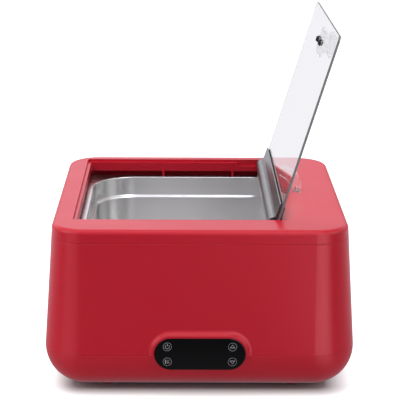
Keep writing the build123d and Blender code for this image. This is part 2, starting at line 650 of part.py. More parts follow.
def make_lid_profile():
    """The hinge bar of the lid: a barrel with a heel and a flange up the inner face of the glass."""
    front = OPEN_FRONT + END_CLEARANCE + CAP_THICKNESS
    back = OPEN_BACK - END_CLEARANCE - CAP_THICKNESS
    length = back - front
    with BuildPart() as lid_profile:
        with BuildSketch(section_plane(back)):
            with Locations((HINGE_X, HINGE_Z)):
                Circle(BARREL_RADIUS)
            with Locations((HINGE_X - BARREL_HEEL / 2, HINGE_Z - BARREL_RADIUS / 2)):
                Rectangle(BARREL_HEEL, BARREL_RADIUS)
        extrude(amount=length)
        with BuildSketch(lid_section_plane(back)):
            with BuildLine():
                inner_top = (FLANGE_OUT - FLANGE_WALL, FLANGE_TOP)
                cove_top = (FLANGE_OUT - FLANGE_WALL - 0.4, 15.0)
                cove_foot = (-5.2, 5.8)
                Line((FLANGE_OUT, -2.0), (FLANGE_OUT, FLANGE_TOP))
                Line((FLANGE_OUT, FLANGE_TOP), inner_top)
                Line(inner_top, cove_top)
                ThreePointArc(cove_top, (-1.9, 9.0), cove_foot)
                Line(cove_foot, (-5.2, -2.0))
                Line((-5.2, -2.0), (FLANGE_OUT, -2.0))
            make_face()
        extrude(amount=length)
        add(glass_rebate(back, length), mode=Mode.SUBTRACT)
        with BuildSketch(section_plane(back)):
            with Locations((HINGE_X, HINGE_Z)):
                Circle(PIN_RADIUS + PIN_RUNNING_CLEARANCE + BUSH_WALL + PIN_SEAT_CLEARANCE)
        extrude(amount=length, mode=Mode.SUBTRACT)
        with BuildSketch(LID_FACE.offset(FLANGE_OUT)):
            with Locations((GLASS_MIDDLE_Y, CLAMP_SCREW_HEIGHT)):
                with GridLocations(CLAMP_SCREW_SPACING, 0, 3, 1):
                    Circle(CLAMP_SCREW_RADIUS + PIN_SEAT_CLEARANCE)
        extrude(amount=-1.0, mode=Mode.SUBTRACT)
    return lid_profile.part


def lid_strip(offset, thickness, low, high):
    """A flat strip along the lid's lower edge, with its three screw holes."""
    with BuildPart() as strip:
        with BuildSketch(LID_FACE.offset(offset)):
            with Locations((GLASS_MIDDLE_Y, (low + high) / 2)):
                Rectangle(GLASS_WIDTH, high - low)
            with Locations((GLASS_MIDDLE_Y, CLAMP_SCREW_HEIGHT)):
                with GridLocations(CLAMP_SCREW_SPACING, 0, 3, 1):
                    Circle(CLAMP_SCREW_RADIUS + SEAT_CLEARANCE, mode=Mode.SUBTRACT)
        extrude(amount=thickness)
    return strip.part


def make_inner_gasket():
    """The black seal between the flange and the glass."""
    return lid_strip(FLANGE_OUT, GLASS_OFFSET - FLANGE_OUT, STRIP_START, STRIP_TOP)


def make_outer_clamp():
    """The black strip that clamps the glass from outside."""
    return lid_strip(GLASS_OUT, CLAMP_THICKNESS, STRIP_START, STRIP_TOP)


def make_clamp_screws():
    """Three low-headed screws through clamp, glass and seal into the flange."""
    with BuildPart() as clamp_screws:
        with BuildSketch(LID_FACE.offset(GLASS_OUT + CLAMP_THICKNESS)):
            with Locations((GLASS_MIDDLE_Y, CLAMP_SCREW_HEIGHT)):
                with GridLocations(CLAMP_SCREW_SPACING, 0, 3, 1):
                    Circle(CLAMP_SCREW_RADIUS)
        extrude(amount=-(GLASS_OUT + CLAMP_THICKNESS - FLANGE_OUT + 0.9))
        with BuildSketch(LID_FACE.offset(GLASS_OUT + CLAMP_THICKNESS)):
            with Locations((GLASS_MIDDLE_Y, CLAMP_SCREW_HEIGHT)):
                with GridLocations(CLAMP_SCREW_SPACING, 0, 3, 1):
                    Circle(2 * CLAMP_SCREW_RADIUS)
        extrude(amount=0.8)
    return clamp_screws.part


def end_stations():
    """The two ends of the hinge bar as (y of the opening's wall, direction towards the bar)."""
    return ((OPEN_FRONT, 1), (OPEN_BACK, -1))


def make_profile_end_caps():
    """The caps that close the ends of the hinge bar."""
    with BuildPart() as profile_end_caps:
        for wall_y, inward in end_stations():
            with BuildSketch(section_plane(wall_y + inward * END_CLEARANCE)):
                with Locations((HINGE_X, HINGE_Z)):
                    Circle(BARREL_RADIUS)
                with Locations((HINGE_X - BARREL_HEEL / 2, HINGE_Z - BARREL_RADIUS / 2)):
                    Rectangle(BARREL_HEEL, BARREL_RADIUS)
                with Locations((HINGE_X, HINGE_Z)):
                    Circle(PIN_RADIUS + SEAT_CLEARANCE, mode=Mode.SUBTRACT)
            extrude(amount=-inward * CAP_THICKNESS)
        add(glass_rebate(OPEN_BACK, OPEN_BACK - OPEN_FRONT), mode=Mode.SUBTRACT)
    return profile_end_caps.part


def make_hinge_bushes():
    """The two plastic bushes in the ends of the barrel."""
    with BuildPart() as hinge_bushes:
        for wall_y, inward in end_stations():
            with BuildSketch(section_plane(wall_y + inward * (END_CLEARANCE + CAP_THICKNESS))):
                with Locations((HINGE_X, HINGE_Z)):
                    Circle(PIN_RADIUS + PIN_RUNNING_CLEARANCE + BUSH_WALL)
                    Circle(PIN_RADIUS + PIN_RUNNING_CLEARANCE, mode=Mode.SUBTRACT)
            extrude(amount=-inward * BUSH_LENGTH)
    return hinge_bushes.part


def make_hinge_pins():
    """The two steel pins, each seated in a lug of the cover."""
    with BuildPart() as hinge_pins:
        for lug_y, inward in ((LIP_FRONT, 1), (LIP_BACK, -1)):
            with BuildSketch(section_plane(lug_y - inward * PIN_IN_LUG)):
                with Locations((HINGE_X, HINGE_Z)):
                    Circle(PIN_RADIUS)
            extrude(amount=-inward * (PIN_IN_LUG + LEDGE_WIDTH + PIN_IN_BARREL))
    return hinge_pins.part


def make_lid_handle():
    """The waisted grip on the outer face of the glass, with blind holes for its screws."""
    out = GLASS_OUT
    tip = out + HANDLE_REACH
    middle = HANDLE_HEIGHT_ON_GLASS
    with BuildPart() as lid_handle:
        with BuildSketch(lid_section_plane(GLASS_MIDDLE_Y + HANDLE_LENGTH / 2)):
            with BuildLine():
                Line((out, middle - HANDLE_FOOT / 2), (out, middle + HANDLE_FOOT / 2))
                for side in (-1, 1):
                    foot = (out + 2.5, middle + side * HANDLE_FOOT / 2)
                    waist = (out + HANDLE_REACH / 2, middle + side * HANDLE_WAIST / 2)
                    cap = (tip - 4.0, middle + side * HANDLE_CAP / 2)
                    Line((out, middle + side * HANDLE_FOOT / 2), foot)
                    ThreePointArc(foot, waist, cap)
                    Line(cap, (tip, middle + side * HANDLE_CAP / 2))
                Line((tip, middle - HANDLE_CAP / 2), (tip, middle + HANDLE_CAP / 2))
            make_face()
        extrude(amount=HANDLE_LENGTH)
        fillet(lid_handle.faces().sort_by(Axis((0, 0, 0), tuple(LID_OUT)))[-1].edges(), 1.6)
        with BuildSketch(LID_FACE.offset(out)):
            with Locations((GLASS_MIDDLE_Y, HANDLE_HEIGHT_ON_GLASS)):
                with GridLocations(HANDLE_SCREW_SPACING, 0, 2, 1):
                    Circle(HANDLE_SCREW_RADIUS + PIN_SEAT_CLEARANCE)
        extrude(amount=10.0, mode=Mode.SUBTRACT)
    return lid_handle.part


def make_handle_washers():
    """Two soft washers under the screw heads, on the inner face of the glass."""
    with BuildPart() as handle_washers:
        with BuildSketch(LID_FACE.offset(GLASS_OFFSET)):
            with Locations((GLASS_MIDDLE_Y, HANDLE_HEIGHT_ON_GLASS)):
                with GridLocations(HANDLE_SCREW_SPACING, 0, 2, 1):
                    Circle(WASHER_RADIUS)
                    Circle(HANDLE_SCREW_RADIUS + SEAT_CLEARANCE, mode=Mode.SUBTRACT)
        extrude(amount=-WASHER_THICKNESS)
    return handle_washers.part


def make_handle_screws():
    """Two black domed screws from the inner face of the glass into the handle."""
    with BuildPart() as handle_screws:
        with BuildSketch(LID_FACE.offset(GLASS_OFFSET - WASHER_THICKNESS)):
            with Locations((GLASS_MIDDLE_Y, HANDLE_HEIGHT_ON_GLASS)):
                with GridLocations(HANDLE_SCREW_SPACING, 0, 2, 1):
                    Circle(HANDLE_SCREW_RADIUS)
        extrude(amount=WASHER_THICKNESS + GLASS_THICKNESS + 8.0)
        with BuildSketch(LID_FACE.offset(GLASS_OFFSET - WASHER_THICKNESS)):
            with Locations((GLASS_MIDDLE_Y, HANDLE_HEIGHT_ON_GLASS)):
                with GridLocations(HANDLE_SCREW_SPACING, 0, 2, 1):
                    Circle(HANDLE_HEAD_RADIUS)
        extrude(amount=-HANDLE_HEAD_HEIGHT, taper=18)
    return handle_screws.part


def make_hinge_trough():
    """The bent steel trough under the hinge that leads condensate away, hung from the cover's pads."""
    top = Z_TOP - TROUGH_TOP_DROP
    low = Z_TOP - TROUGH_BOTTOM_DROP
    pad = Z_TOP - TROUGH_PAD_DROP
    right = TROUGH_LEFT + TROUGH_WIDTH
    sheet = TROUGH_SHEET
    front = OPEN_FRONT + TROUGH_END_GAP
    back = OPEN_BACK - TROUGH_END_GAP
    with BuildPart() as hinge_trough:
        with BuildSketch(section_plane(back)):
            with BuildLine():
                Polyline(
                    (TROUGH_LEFT, top),
                    (TROUGH_LEFT, low),
                    (right, low),
                    (right, pad - sheet),
                    (right + TROUGH_FLANGE, pad - sheet),
                    (right + TROUGH_FLANGE, pad),
                    (right - sheet, pad),
                    (right - sheet, low + sheet),
                    (TROUGH_LEFT + sheet, low + sheet),
                    (TROUGH_LEFT + sheet, top),
                    close=True,
                )
            make_face()
        extrude(amount=back - front)
        with BuildSketch(Plane.XY.offset(pad)):
            with Locations((trough_flange_middle(), GLASS_MIDDLE_Y)):
                with GridLocations(0, TROUGH_PAD_SPACING, 1, 3):
                    Circle(BOARD_SCREW_RADIUS + SEAT_CLEARANCE)
        extrude(amount=-sheet, mode=Mode.SUBTRACT)
    return hinge_trough.part


def make_trough_screws():
    """Three screws that hold the trough to the cover's pads."""
    pad = Z_TOP - TROUGH_PAD_DROP - TROUGH_SHEET
    with BuildPart() as trough_screws:
        for step in (-1, 0, 1):
            y = GLASS_MIDDLE_Y + step * TROUGH_PAD_SPACING
            shank = BOARD_SCREW_RADIUS - PIN_SEAT_CLEARANCE
            add(screw_body(trough_flange_middle(), y, pad, 1, shank, TROUGH_SHEET + 5, 2.6, 1.8))
    return trough_screws.part


def make_lid_stop():
    """The clear horn-shaped stop that the open lid leans on."""
    face = GLASS_OUT + STOP_GAP
    low = lid_point(face, STOP_LOW)
    high = lid_point(face, STOP_HIGH)
    crown = (high[0] + 4.0, high[1] + 2.4)
    with BuildPart() as lid_stop:
        with BuildSketch(section_plane(STOP_Y + STOP_WIDTH / 2)):
            with BuildLine():
                Line((STOP_FOOT_LEFT, Z_TOP), (STOP_FOOT_RIGHT, Z_TOP))
                ThreePointArc((STOP_FOOT_RIGHT, Z_TOP), (132.3, Z_TOP + 26.0), crown)
                Line(crown, high)
                Line(high, low)
                ThreePointArc(low, (120.6, Z_TOP + 14.5), (STOP_FOOT_LEFT, Z_TOP))
            make_face()
        extrude(amount=STOP_WIDTH)
        with BuildSketch(Plane.XY.offset(Z_TOP)):
            with Locations((stop_foot_middle(), STOP_Y)):
                Circle(STOP_SCREW_RADIUS + PIN_SEAT_CLEARANCE)
        extrude(amount=8.0, mode=Mode.SUBTRACT)
    return lid_stop.part


def lid_point(offset, height):
    """A point of the open lid as (x, z), from its offset through the glass and its height along it."""
    x = HINGE_X + offset * cos(LEAN) + height * sin(LEAN)
    z = HINGE_Z - offset * sin(LEAN) + height * cos(LEAN)
    return (x, z)


def make_stop_screw():
    """The screw that holds the lid stop from under the cover."""
    with BuildPart() as stop_screw:
        add(screw_body(stop_foot_middle(), STOP_Y, Z_TOP - WALL, 1, STOP_SCREW_RADIUS, WALL + 7, 3.0, 2.0))
    return stop_screw.part


def pan_form(inset):
    """The pan's bowl below its rim, drawn in by inset, with a stacking shoulder part of the way down."""
    width = PAN_WIDTH - 2 * PAN_FLANGE - 2 * inset
    length = PAN_LENGTH - 2 * PAN_FLANGE - 2 * inset
    corner = PAN_INNER_CORNER - inset
    step = PAN_SHOULDER_STEP
    shoulder = Z_RIM - PAN_SHOULDER_DROP + inset
    with BuildPart() as bowl:
        with BuildSketch(Plane.XY.offset(Z_RIM)):
            with Locations((0, PAN_Y)):
                RectangleRounded(width, length, corner)
        extrude(amount=shoulder - Z_RIM)
        with BuildSketch(Plane.XY.offset(shoulder)):
            with Locations((0, PAN_Y)):
                RectangleRounded(width - 2 * step, length - 2 * step, corner - step)
        extrude(amount=PAN_SHOULDER_DROP - PAN_DEPTH, taper=PAN_TAPER)
        fillet(bowl.faces().sort_by(Axis.Z)[0].edges(), PAN_FLOOR_RADIUS - inset)
        ledge = bowl.faces().filter_by_position(Axis.Z, shoulder - 0.01, shoulder + 0.01)[0]
        fillet(ledge.inner_wires()[0].edges(), PAN_SHOULDER_COVE + inset)
        ledge = bowl.faces().filter_by_position(Axis.Z, shoulder - 0.01, shoulder + 0.01)[0]
        fillet(ledge.outer_wire().edges(), PAN_SHOULDER_EDGE - inset)
    return bowl.part


def make_serving_pan():
    """The stainless pan: its bowl hangs by a flat rim."""
    with BuildPart() as serving_pan:
        with BuildSketch(Plane.XY.offset(Z_RIM)):
            with Locations((0, PAN_Y)):
                RectangleRounded(PAN_WIDTH, PAN_LENGTH, PAN_FLANGE_CORNER)
        extrude(amount=-PAN_RIM_SHEET)
        add(pan_form(0))
        add(pan_form(PAN_SHEET), mode=Mode.SUBTRACT)
        mouth = serving_pan.faces().sort_by(Axis.Z)[-1].inner_wires()[0]
        fillet(mouth.edges(), PAN_RIM_SHEET)
    return serving_pan.part


def well_form(inset):
    """The well's cavity with its rounded floor edge, drawn in by inset."""
    with BuildPart() as cavity:
        with BuildSketch(Plane.XY.offset(Z_DECK + WELL_SHEET)):
            with Locations((0, PAN_Y)):
                RectangleRounded(WELL_WIDTH - 2 * inset, WELL_LENGTH - 2 * inset, WELL_CORNER - inset)
        extrude(amount=Z_WELL_FLOOR + inset - Z_DECK - WELL_SHEET)
        fillet(cavity.faces().sort_by(Axis.Z)[0].edges(), WELL_FLOOR_RADIUS - inset)
    return cavity.part


def make_heated_well():
    """The steel well that the pan hangs in, with a flange that rests on the deck."""
    margin = 2 * WELL_FLANGE_MARGIN
    with BuildPart() as heated_well:
        with BuildSketch(Plane.XY.offset(Z_DECK)):
            with Locations((0, PAN_Y)):
                RectangleRounded(PAN_WIDTH + margin, PAN_LENGTH + margin, PAN_FLANGE_CORNER)
        extrude(amount=WELL_SHEET)
        add(well_form(-WELL_SHEET))
        add(well_form(0), mode=Mode.SUBTRACT)
    return heated_well.part


def make_heater_plate():
    """The aluminium plate that spreads the heat under the well."""
    with BuildPart() as heater_plate:
        with BuildSketch(Plane.XY.offset(Z_PLATE)):
            with Locations((0, PAN_Y)):
                RectangleRounded(PLATE_WIDTH, PLATE_LENGTH, PLATE_CORNER)
        extrude(amount=PLATE_THICKNESS)
    return heater_plate.part


def make_heating_element():
    """The tubular element: one open loop under the plate, with its two cold ends turned in at the front."""
    z = Z_PLATE - ELEMENT_RADIUS
    half_width = ELEMENT_LOOP_WIDTH / 2
    front = PAN_Y - ELEMENT_LOOP_LENGTH / 2
    back = PAN_Y + ELEMENT_LOOP_LENGTH / 2
    half_gap = ELEMENT_GAP / 2
    with BuildPart() as heating_element:
        with BuildLine():
            FilletPolyline(
                (-half_gap, front + ELEMENT_TAIL, z),
                (-half_gap, front, z),
                (-half_width, front, z),
                (-half_width, back, z),
                (half_width, back, z),
                (half_width, front, z),
                (half_gap, front, z),
                (half_gap, front + ELEMENT_TAIL, z),
                radius=ELEMENT_CORNER,
            )
        with BuildSketch(Plane(origin=(-half_gap, front + ELEMENT_TAIL, z), z_dir=(0, -1, 0))):
            Circle(ELEMENT_RADIUS)
        sweep()
    return heating_element.part


def make_element_clips():
    """Four bent clips that press the element against the plate."""
    z = Z_PLATE
    reach = ELEMENT_RADIUS + SEAT_CLEARANCE
    with BuildPart() as element_clips:
        for side in (-1, 1):
            for y in (PAN_Y - 50, PAN_Y + 50):
                x = side * ELEMENT_LOOP_WIDTH / 2
                with BuildSketch(section_plane(y + CLIP_WIDTH / 2)):
                    with BuildLine():
                        Polyline(
                            (x - reach - 8, z),
                            (x - reach, z),
                            (x - reach, z - 2 * reach),
                            (x + reach, z - 2 * reach),
                            (x + reach, z),
                            (x + reach + 8, z),
                            (x + reach + 8, z - CLIP_SHEET),
                            (x + reach + CLIP_SHEET, z - CLIP_SHEET),
                            (x + reach + CLIP_SHEET, z - 2 * reach - CLIP_SHEET),
                            (x - reach - CLIP_SHEET, z - 2 * reach - CLIP_SHEET),
                            (x - reach - CLIP_SHEET, z - CLIP_SHEET),
                            (x - reach - 8, z - CLIP_SHEET),
                            close=True,
                        )
                    make_face()
                extrude(amount=CLIP_WIDTH)
    return element_clips.part


def make_thermostat():
    """The disc thermostat under the middle of the plate."""
    with BuildPart() as thermostat:
        with BuildSketch(Plane.XY.offset(Z_PLATE)):
            with Locations((0, PAN_Y)):
                Circle(8)
        extrude(amount=-6)
        with BuildSketch(Plane.XY.offset(Z_PLATE)):
            with Locations((0, PAN_Y)):
                SlotOverall(34, 10)
        extrude(amount=-0.8)
        with BuildSketch(Plane.XY.offset(Z_PLATE - 6)):
            with Locations((-5, PAN_Y), (5, PAN_Y)):
                Rectangle(0.8, 6)
        extrude(amount=-5)
    return thermostat.part


def make_thermal_cutout():
    """The one-shot thermal cut-out in its clamp on the plate."""
    with BuildPart() as thermal_cutout:
        with BuildSketch(Plane.XY.offset(Z_PLATE)):
            with Locations((0, PAN_Y + 60)):
                Rectangle(26, 9)
        extrude(amount=-4.5)
        fillet(thermal_cutout.edges().filter_by(Axis.Z), 2)
    return thermal_cutout.part


def make_temperature_sensor():
    """The sensor that reports the well's temperature to the board."""
    with BuildPart() as temperature_sensor:
        with BuildSketch(Plane.XY.offset(Z_PLATE)):
            with Locations((0, SENSOR_Y)):
                Circle(5)
        extrude(amount=-SENSOR_HEIGHT)
        fillet(temperature_sensor.faces().sort_by(Axis.Z)[0].edges(), 1.5)
    return temperature_sensor.part


def shield_top():
    """The height of the heat shield's upper edge."""
    return Z_PLATE - 2 * ELEMENT_RADIUS - 8


def stud_spots():
    """The four studs under the well that carry the heat shield, as a grid's two spacings."""
    return (PLATE_WIDTH + 16, PLATE_LENGTH - 60)


def make_shield_studs():
    """Four studs from the well's floor down to the heat shield."""
    top = Z_WELL_FLOOR - WELL_SHEET
    with BuildPart() as shield_studs:
        with BuildSketch(Plane.XY.offset(top)):
            with Locations((0, PAN_Y)):
                with GridLocations(*stud_spots(), 2, 2):
                    Circle(STUD_RADIUS)
        extrude(amount=-(top - shield_floor()))
        with BuildSketch(Plane.XY.offset(shield_floor())):
            with Locations((0, PAN_Y)):
                with GridLocations(*stud_spots(), 2, 2):
                    Circle(SHIELD_SCREW_RADIUS + PIN_SEAT_CLEARANCE)
        extrude(amount=SHIELD_SCREW_LENGTH, mode=Mode.SUBTRACT)
    return shield_studs.part


def shield_floor():
    """The upper face of the heat shield's floor."""
    return shield_top() - SHIELD_DEPTH + SHIELD_SHEET


def make_heat_shield():
    """The steel tray that keeps the heat away from the electronics."""
    fold = 2 * SHIELD_SHEET
    with BuildPart() as heat_shield:
        with BuildSketch(Plane.XY.offset(shield_top())):
            with Locations((0, PAN_Y)):
                RectangleRounded(SHIELD_WIDTH, SHIELD_LENGTH, PLATE_CORNER)
        extrude(amount=-SHIELD_DEPTH)
        with BuildSketch(Plane.XY.offset(shield_top())):
            with Locations((0, PAN_Y)):
                RectangleRounded(SHIELD_WIDTH - fold, SHIELD_LENGTH - fold, PLATE_CORNER - SHIELD_SHEET)
        extrude(amount=-SHIELD_DEPTH + SHIELD_SHEET, mode=Mode.SUBTRACT)
        with BuildSketch(Plane.XY.offset(shield_floor())):
            with Locations((-ELEMENT_GAP / 2, LEAD_DROP_Y), (ELEMENT_GAP / 2, LEAD_DROP_Y), (0, SENSOR_Y)):
                Circle(LEAD_HOLE_RADIUS)
            with Locations((0, PAN_Y)):
                with GridLocations(*stud_spots(), 2, 2):
                    Circle(SHIELD_SCREW_RADIUS + SEAT_CLEARANCE)
        extrude(amount=-SHIELD_SHEET, mode=Mode.SUBTRACT)
    return heat_shield.part


def make_shield_screws():
    """Four screws that hold the heat shield to its studs."""
    with BuildPart() as shield_screws:
        for side in (-1, 1):
            for end in (-1, 1):
                x = side * stud_spots()[0] / 2
                y = PAN_Y + end * stud_spots()[1] / 2
                z = shield_floor() - SHIELD_SHEET
                add(screw_body(x, y, z, 1, SHIELD_SCREW_RADIUS, SHIELD_SCREW_LENGTH, 3.0, 2.0))
    return shield_screws.part


def make_lead_grommets():
    """The rubber rings that line the shield's lead holes."""
    low = shield_floor() - SHIELD_SHEET
    with BuildPart() as lead_grommets:
        for x, y in ((-ELEMENT_GAP / 2, LEAD_DROP_Y), (ELEMENT_GAP / 2, LEAD_DROP_Y), (0, SENSOR_Y)):
            for z, radius, height in (
                (low - GROMMET_LIP, LEAD_HOLE_RADIUS + GROMMET_LIP, GROMMET_LIP),
                (low, LEAD_HOLE_RADIUS - PIN_SEAT_CLEARANCE, SHIELD_SHEET),
                (low + SHIELD_SHEET, LEAD_HOLE_RADIUS + GROMMET_LIP, GROMMET_LIP),
            ):
                with BuildSketch(Plane.XY.offset(z)):
                    with Locations((x, y)):
                        Circle(radius)
                        Circle(GROMMET_BORE, mode=Mode.SUBTRACT)
                extrude(amount=height)
    return lead_grommets.part


def make_control_lens():
    """The glossy black lens of the touch panel."""
    with BuildPart() as control_lens:
        with BuildSketch(panel_plane(Y_PANEL)):
            SlotOverall(LENS_LENGTH, LENS_HEIGHT)
        extrude(amount=-LENS_THICKNESS)
        fillet(control_lens.faces().sort_by(Axis.Y)[0].edges(), 0.5)
    return control_lens.part


def make_touch_board():
    """The touch board on the back of the lens."""
    with BuildPart() as touch_board:
        with BuildSketch(panel_plane(Y_PANEL + LENS_THICKNESS + DISPLAY_THICKNESS)):
            RectangleRounded(TOUCH_BOARD_LENGTH, TOUCH_BOARD_HEIGHT, 3)
        extrude(amount=-BOARD_THICKNESS)
    return touch_board.part


def make_display_module():
    """The numeric display between the lens and the touch board."""
    with BuildPart() as display_module:
        with BuildSketch(panel_plane(Y_PANEL + LENS_THICKNESS)):
            Rectangle(DISPLAY_LENGTH, DISPLAY_HEIGHT)
        extrude(amount=-DISPLAY_THICKNESS)
    return display_module.part


def make_touch_springs():
    """The four touch springs that reach from the board to the lens behind the touch icons."""
    with BuildPart() as touch_springs:
        with BuildSketch(panel_plane(Y_PANEL + LENS_THICKNESS)):
            with GridLocations(80, 14, 2, 2):
                Circle(4.0)
                Circle(2.8, mode=Mode.SUBTRACT)
        extrude(amount=-DISPLAY_THICKNESS)
    return touch_springs.part


def make_power_board():
    """The power board on its standoffs in the base."""
    with BuildPart() as power_board:
        with BuildSketch(Plane.XY.offset(Z_BOARD)):
            with Locations((POWER_BOARD_X, POWER_BOARD_Y)):
                RectangleRounded(POWER_BOARD_WIDTH, POWER_BOARD_LENGTH, 3)
                with GridLocations(BOARD_SCREW_SPAN_X, BOARD_SCREW_SPAN_Y, 2, 2):
                    Circle(BOARD_SCREW_RADIUS + SEAT_CLEARANCE, mode=Mode.SUBTRACT)
        extrude(amount=BOARD_THICKNESS)
    return power_board.part


def board_block(x, y, width, length, height, corner):
    """A moulded component on the power board, placed from the board's middle."""
    with BuildPart() as block:
        with BuildSketch(Plane.XY.offset(Z_BOARD + BOARD_THICKNESS)):
            with Locations((POWER_BOARD_X + x, POWER_BOARD_Y + y)):
                RectangleRounded(width, length, corner)
        extrude(amount=height)
        chamfer(block.faces().sort_by(Axis.Z)[-1].edges(), 0.6)
    return block.part


def make_transformer():
    """The small transformer of the board's own supply."""
    return board_block(-30, 6, 28, 30, 20, 2)


def make_relay():
    """The relay that switches the element."""
    return board_block(8, 12, 20, 16, 16, 1)


def make_terminal_block():
    """The terminals for the mains and heater leads."""
    length = TERMINAL_PITCH * TERMINAL_COUNT + 1
    return board_block(TERMINAL_X, TERMINAL_Y, 12, length, TERMINAL_HEIGHT, 1)


def make_capacitors():
    """Two round capacitors on the power board."""
    with BuildPart() as capacitors:
        with BuildSketch(Plane.XY.offset(Z_BOARD + BOARD_THICKNESS)):
            with Locations((POWER_BOARD_X + 2, POWER_BOARD_Y - 14), (POWER_BOARD_X + 16, POWER_BOARD_Y - 14)):
                Circle(5)
        extrude(amount=16)
        fillet(capacitors.faces().sort_by(Axis.Z)[-2:].edges(), 0.8)
    return capacitors.part


def make_board_screws():
    """Four screws that hold the power board to its standoffs."""
    z = Z_BOARD + BOARD_THICKNESS
    x_step = BOARD_SCREW_SPAN_X / 2
    y_step = BOARD_SCREW_SPAN_Y / 2
    shank = BOARD_SCREW_RADIUS - PIN_SEAT_CLEARANCE
    with BuildPart() as board_screws:
        for x in (POWER_BOARD_X - x_step, POWER_BOARD_X + x_step):
            for y in (POWER_BOARD_Y - y_step, POWER_BOARD_Y + y_step):
                add(screw_body(x, y, z, -1, shank, BOARD_THICKNESS + 5, 2.8, 1.8))
    return board_screws.part


def make_mains_inlet():
    """The three-pin appliance inlet in the back of the housing."""
    with BuildPart() as mains_inlet:
        with BuildSketch(inlet_plane(Y_INLET)):
            RectangleRounded(INLET_FLANGE_LENGTH, INLET_FLANGE_HEIGHT, INLET_FLANGE_CORNER)
        extrude(amount=-INLET_FLANGE)
        with BuildSketch(inlet_plane(Y_INLET)):
            Rectangle(INLET_BODY_LENGTH, INLET_BODY_HEIGHT)
        extrude(amount=-INLET_BODY_DEPTH)
        with BuildSketch(inlet_plane(Y_INLET)) as socket:
            Rectangle(INLET_SOCKET_LENGTH, INLET_SOCKET_HEIGHT)
            chamfer(socket.vertices().group_by(Axis.Z)[-1], 4)
        extrude(amount=-INLET_SOCKET_DEPTH, mode=Mode.SUBTRACT)
        with BuildSketch(inlet_plane(Y_INLET - INLET_SOCKET_DEPTH)):
            with Locations((-7, -3.6), (0, 3.6), (7, -3.6)):
                Rectangle(2, 4)
        extrude(amount=INLET_SOCKET_DEPTH - 3)
        with BuildSketch(inlet_plane(Y_INLET)):
            with GridLocations(INLET_SCREW_SPACING, 0, 2, 1):
                Circle(BOARD_SCREW_RADIUS + SEAT_CLEARANCE)
        extrude(amount=-INLET_FLANGE, mode=Mode.SUBTRACT)
        with BuildSketch(inlet_plane(Y_INLET - INLET_BODY_DEPTH)):
            with GridLocations(INLET_TAB_SPACING, 0, 3, 1):
                Rectangle(0.8, 6.3)
        extrude(amount=-INLET_TAB_LENGTH)
    return mains_inlet.part


def make_inlet_screws():
    """Two screws that hold the inlet to its pad."""
    with BuildPart() as inlet_screws:
        with BuildSketch(inlet_plane(Y_INLET)):
            with GridLocations(INLET_SCREW_SPACING, 0, 2, 1):
                Circle(BOARD_SCREW_RADIUS)
        extrude(amount=-9)
        with BuildSketch(inlet_plane(Y_INLET)):
            with GridLocations(INLET_SCREW_SPACING, 0, 2, 1):
                Circle(2.7)
        extrude(amount=0.9)
    return inlet_screws.part


def make_feet():
    """Four moulded feet."""
    with BuildPart() as feet:
        with BuildSketch(Plane.XY.offset(Z_BASE)):
            with GridLocations(2 * FOOT_X, 2 * FOOT_Y, 2, 2):
                Circle(FOOT_RADIUS)
        extrude(amount=-FOOT_HEIGHT, taper=8)
        with BuildSketch(Plane.XY):
            with GridLocations(2 * FOOT_X, 2 * FOOT_Y, 2, 2):
                Circle(2 * FOOT_SCREW_RADIUS)
        extrude(amount=FOOT_HEIGHT / 2, mode=Mode.SUBTRACT)
        with BuildSketch(Plane.XY):
            with GridLocations(2 * FOOT_X, 2 * FOOT_Y, 2, 2):
                Circle(FOOT_SCREW_RADIUS + PIN_RUNNING_CLEARANCE)
        extrude(amount=FOOT_HEIGHT, mode=Mode.SUBTRACT)
    return feet.part


def make_foot_screws():
    """Four screws up through the feet into the base."""
    with BuildPart() as foot_screws:
        for x in (-FOOT_X, FOOT_X):
            for y in (-FOOT_Y, FOOT_Y):
                shank = FOOT_SCREW_RADIUS - PIN_SEAT_CLEARANCE
                length = FOOT_HEIGHT / 2 + WALL + FOOT_BOSS_HEIGHT - 1
                add(screw_body(x, y, FOOT_HEIGHT / 2, 1, shank, length, 3.2, 2.0))
    return foot_screws.part


def make_shell_screws():
    """Four long screws that join the base to the middle shell."""
    z = Z_BASE + SHELL_SCREW_RECESS
    length = Z_LOW - z + SHELL_SCREW_GRIP - 2
    with BuildPart() as shell_screws:
        for x in (-BOSS_X, BOSS_X):
            for y in (-BOSS_Y, BOSS_Y):
                add(screw_body(x, y, z, 1, SHELL_SCREW_RADIUS, length, SHELL_SCREW_HEAD, 2.6))
    return shell_screws.part


def make_signal_headers():
    """The two headers on the power board: one for the sensor, one for the ribbon cable."""
    with BuildPart() as signal_headers:
        with BuildSketch(Plane.XY.offset(Z_BOARD_TOP)):
            with Locations((POWER_BOARD_X + HEADER_X, POWER_BOARD_Y + HEADER_Y)):
                Rectangle(6, 9)
            with Locations((RIBBON_X, POWER_BOARD_Y + RIBBON_HEADER_Y)):
                Rectangle(RIBBON_WIDTH + 3, 5)
        extrude(amount=HEADER_HEIGHT)
    return signal_headers.part


def wire(points, radius):
    """A round lead along a bent line, which it starts and ends square to."""
    start = Vector(*points[0])
    with BuildPart() as lead:
        with BuildLine():
            FilletPolyline(*points, radius=WIRE_BEND)
        with BuildSketch(Plane(origin=start, z_dir=Vector(*points[1]) - start)):
            Circle(radius)
        sweep()
    return lead.part


def terminal_y(number):
    """Where one terminal lies along Y, counted from the front."""
    return POWER_BOARD_Y + TERMINAL_Y + (number - (TERMINAL_COUNT - 1) / 2) * TERMINAL_PITCH


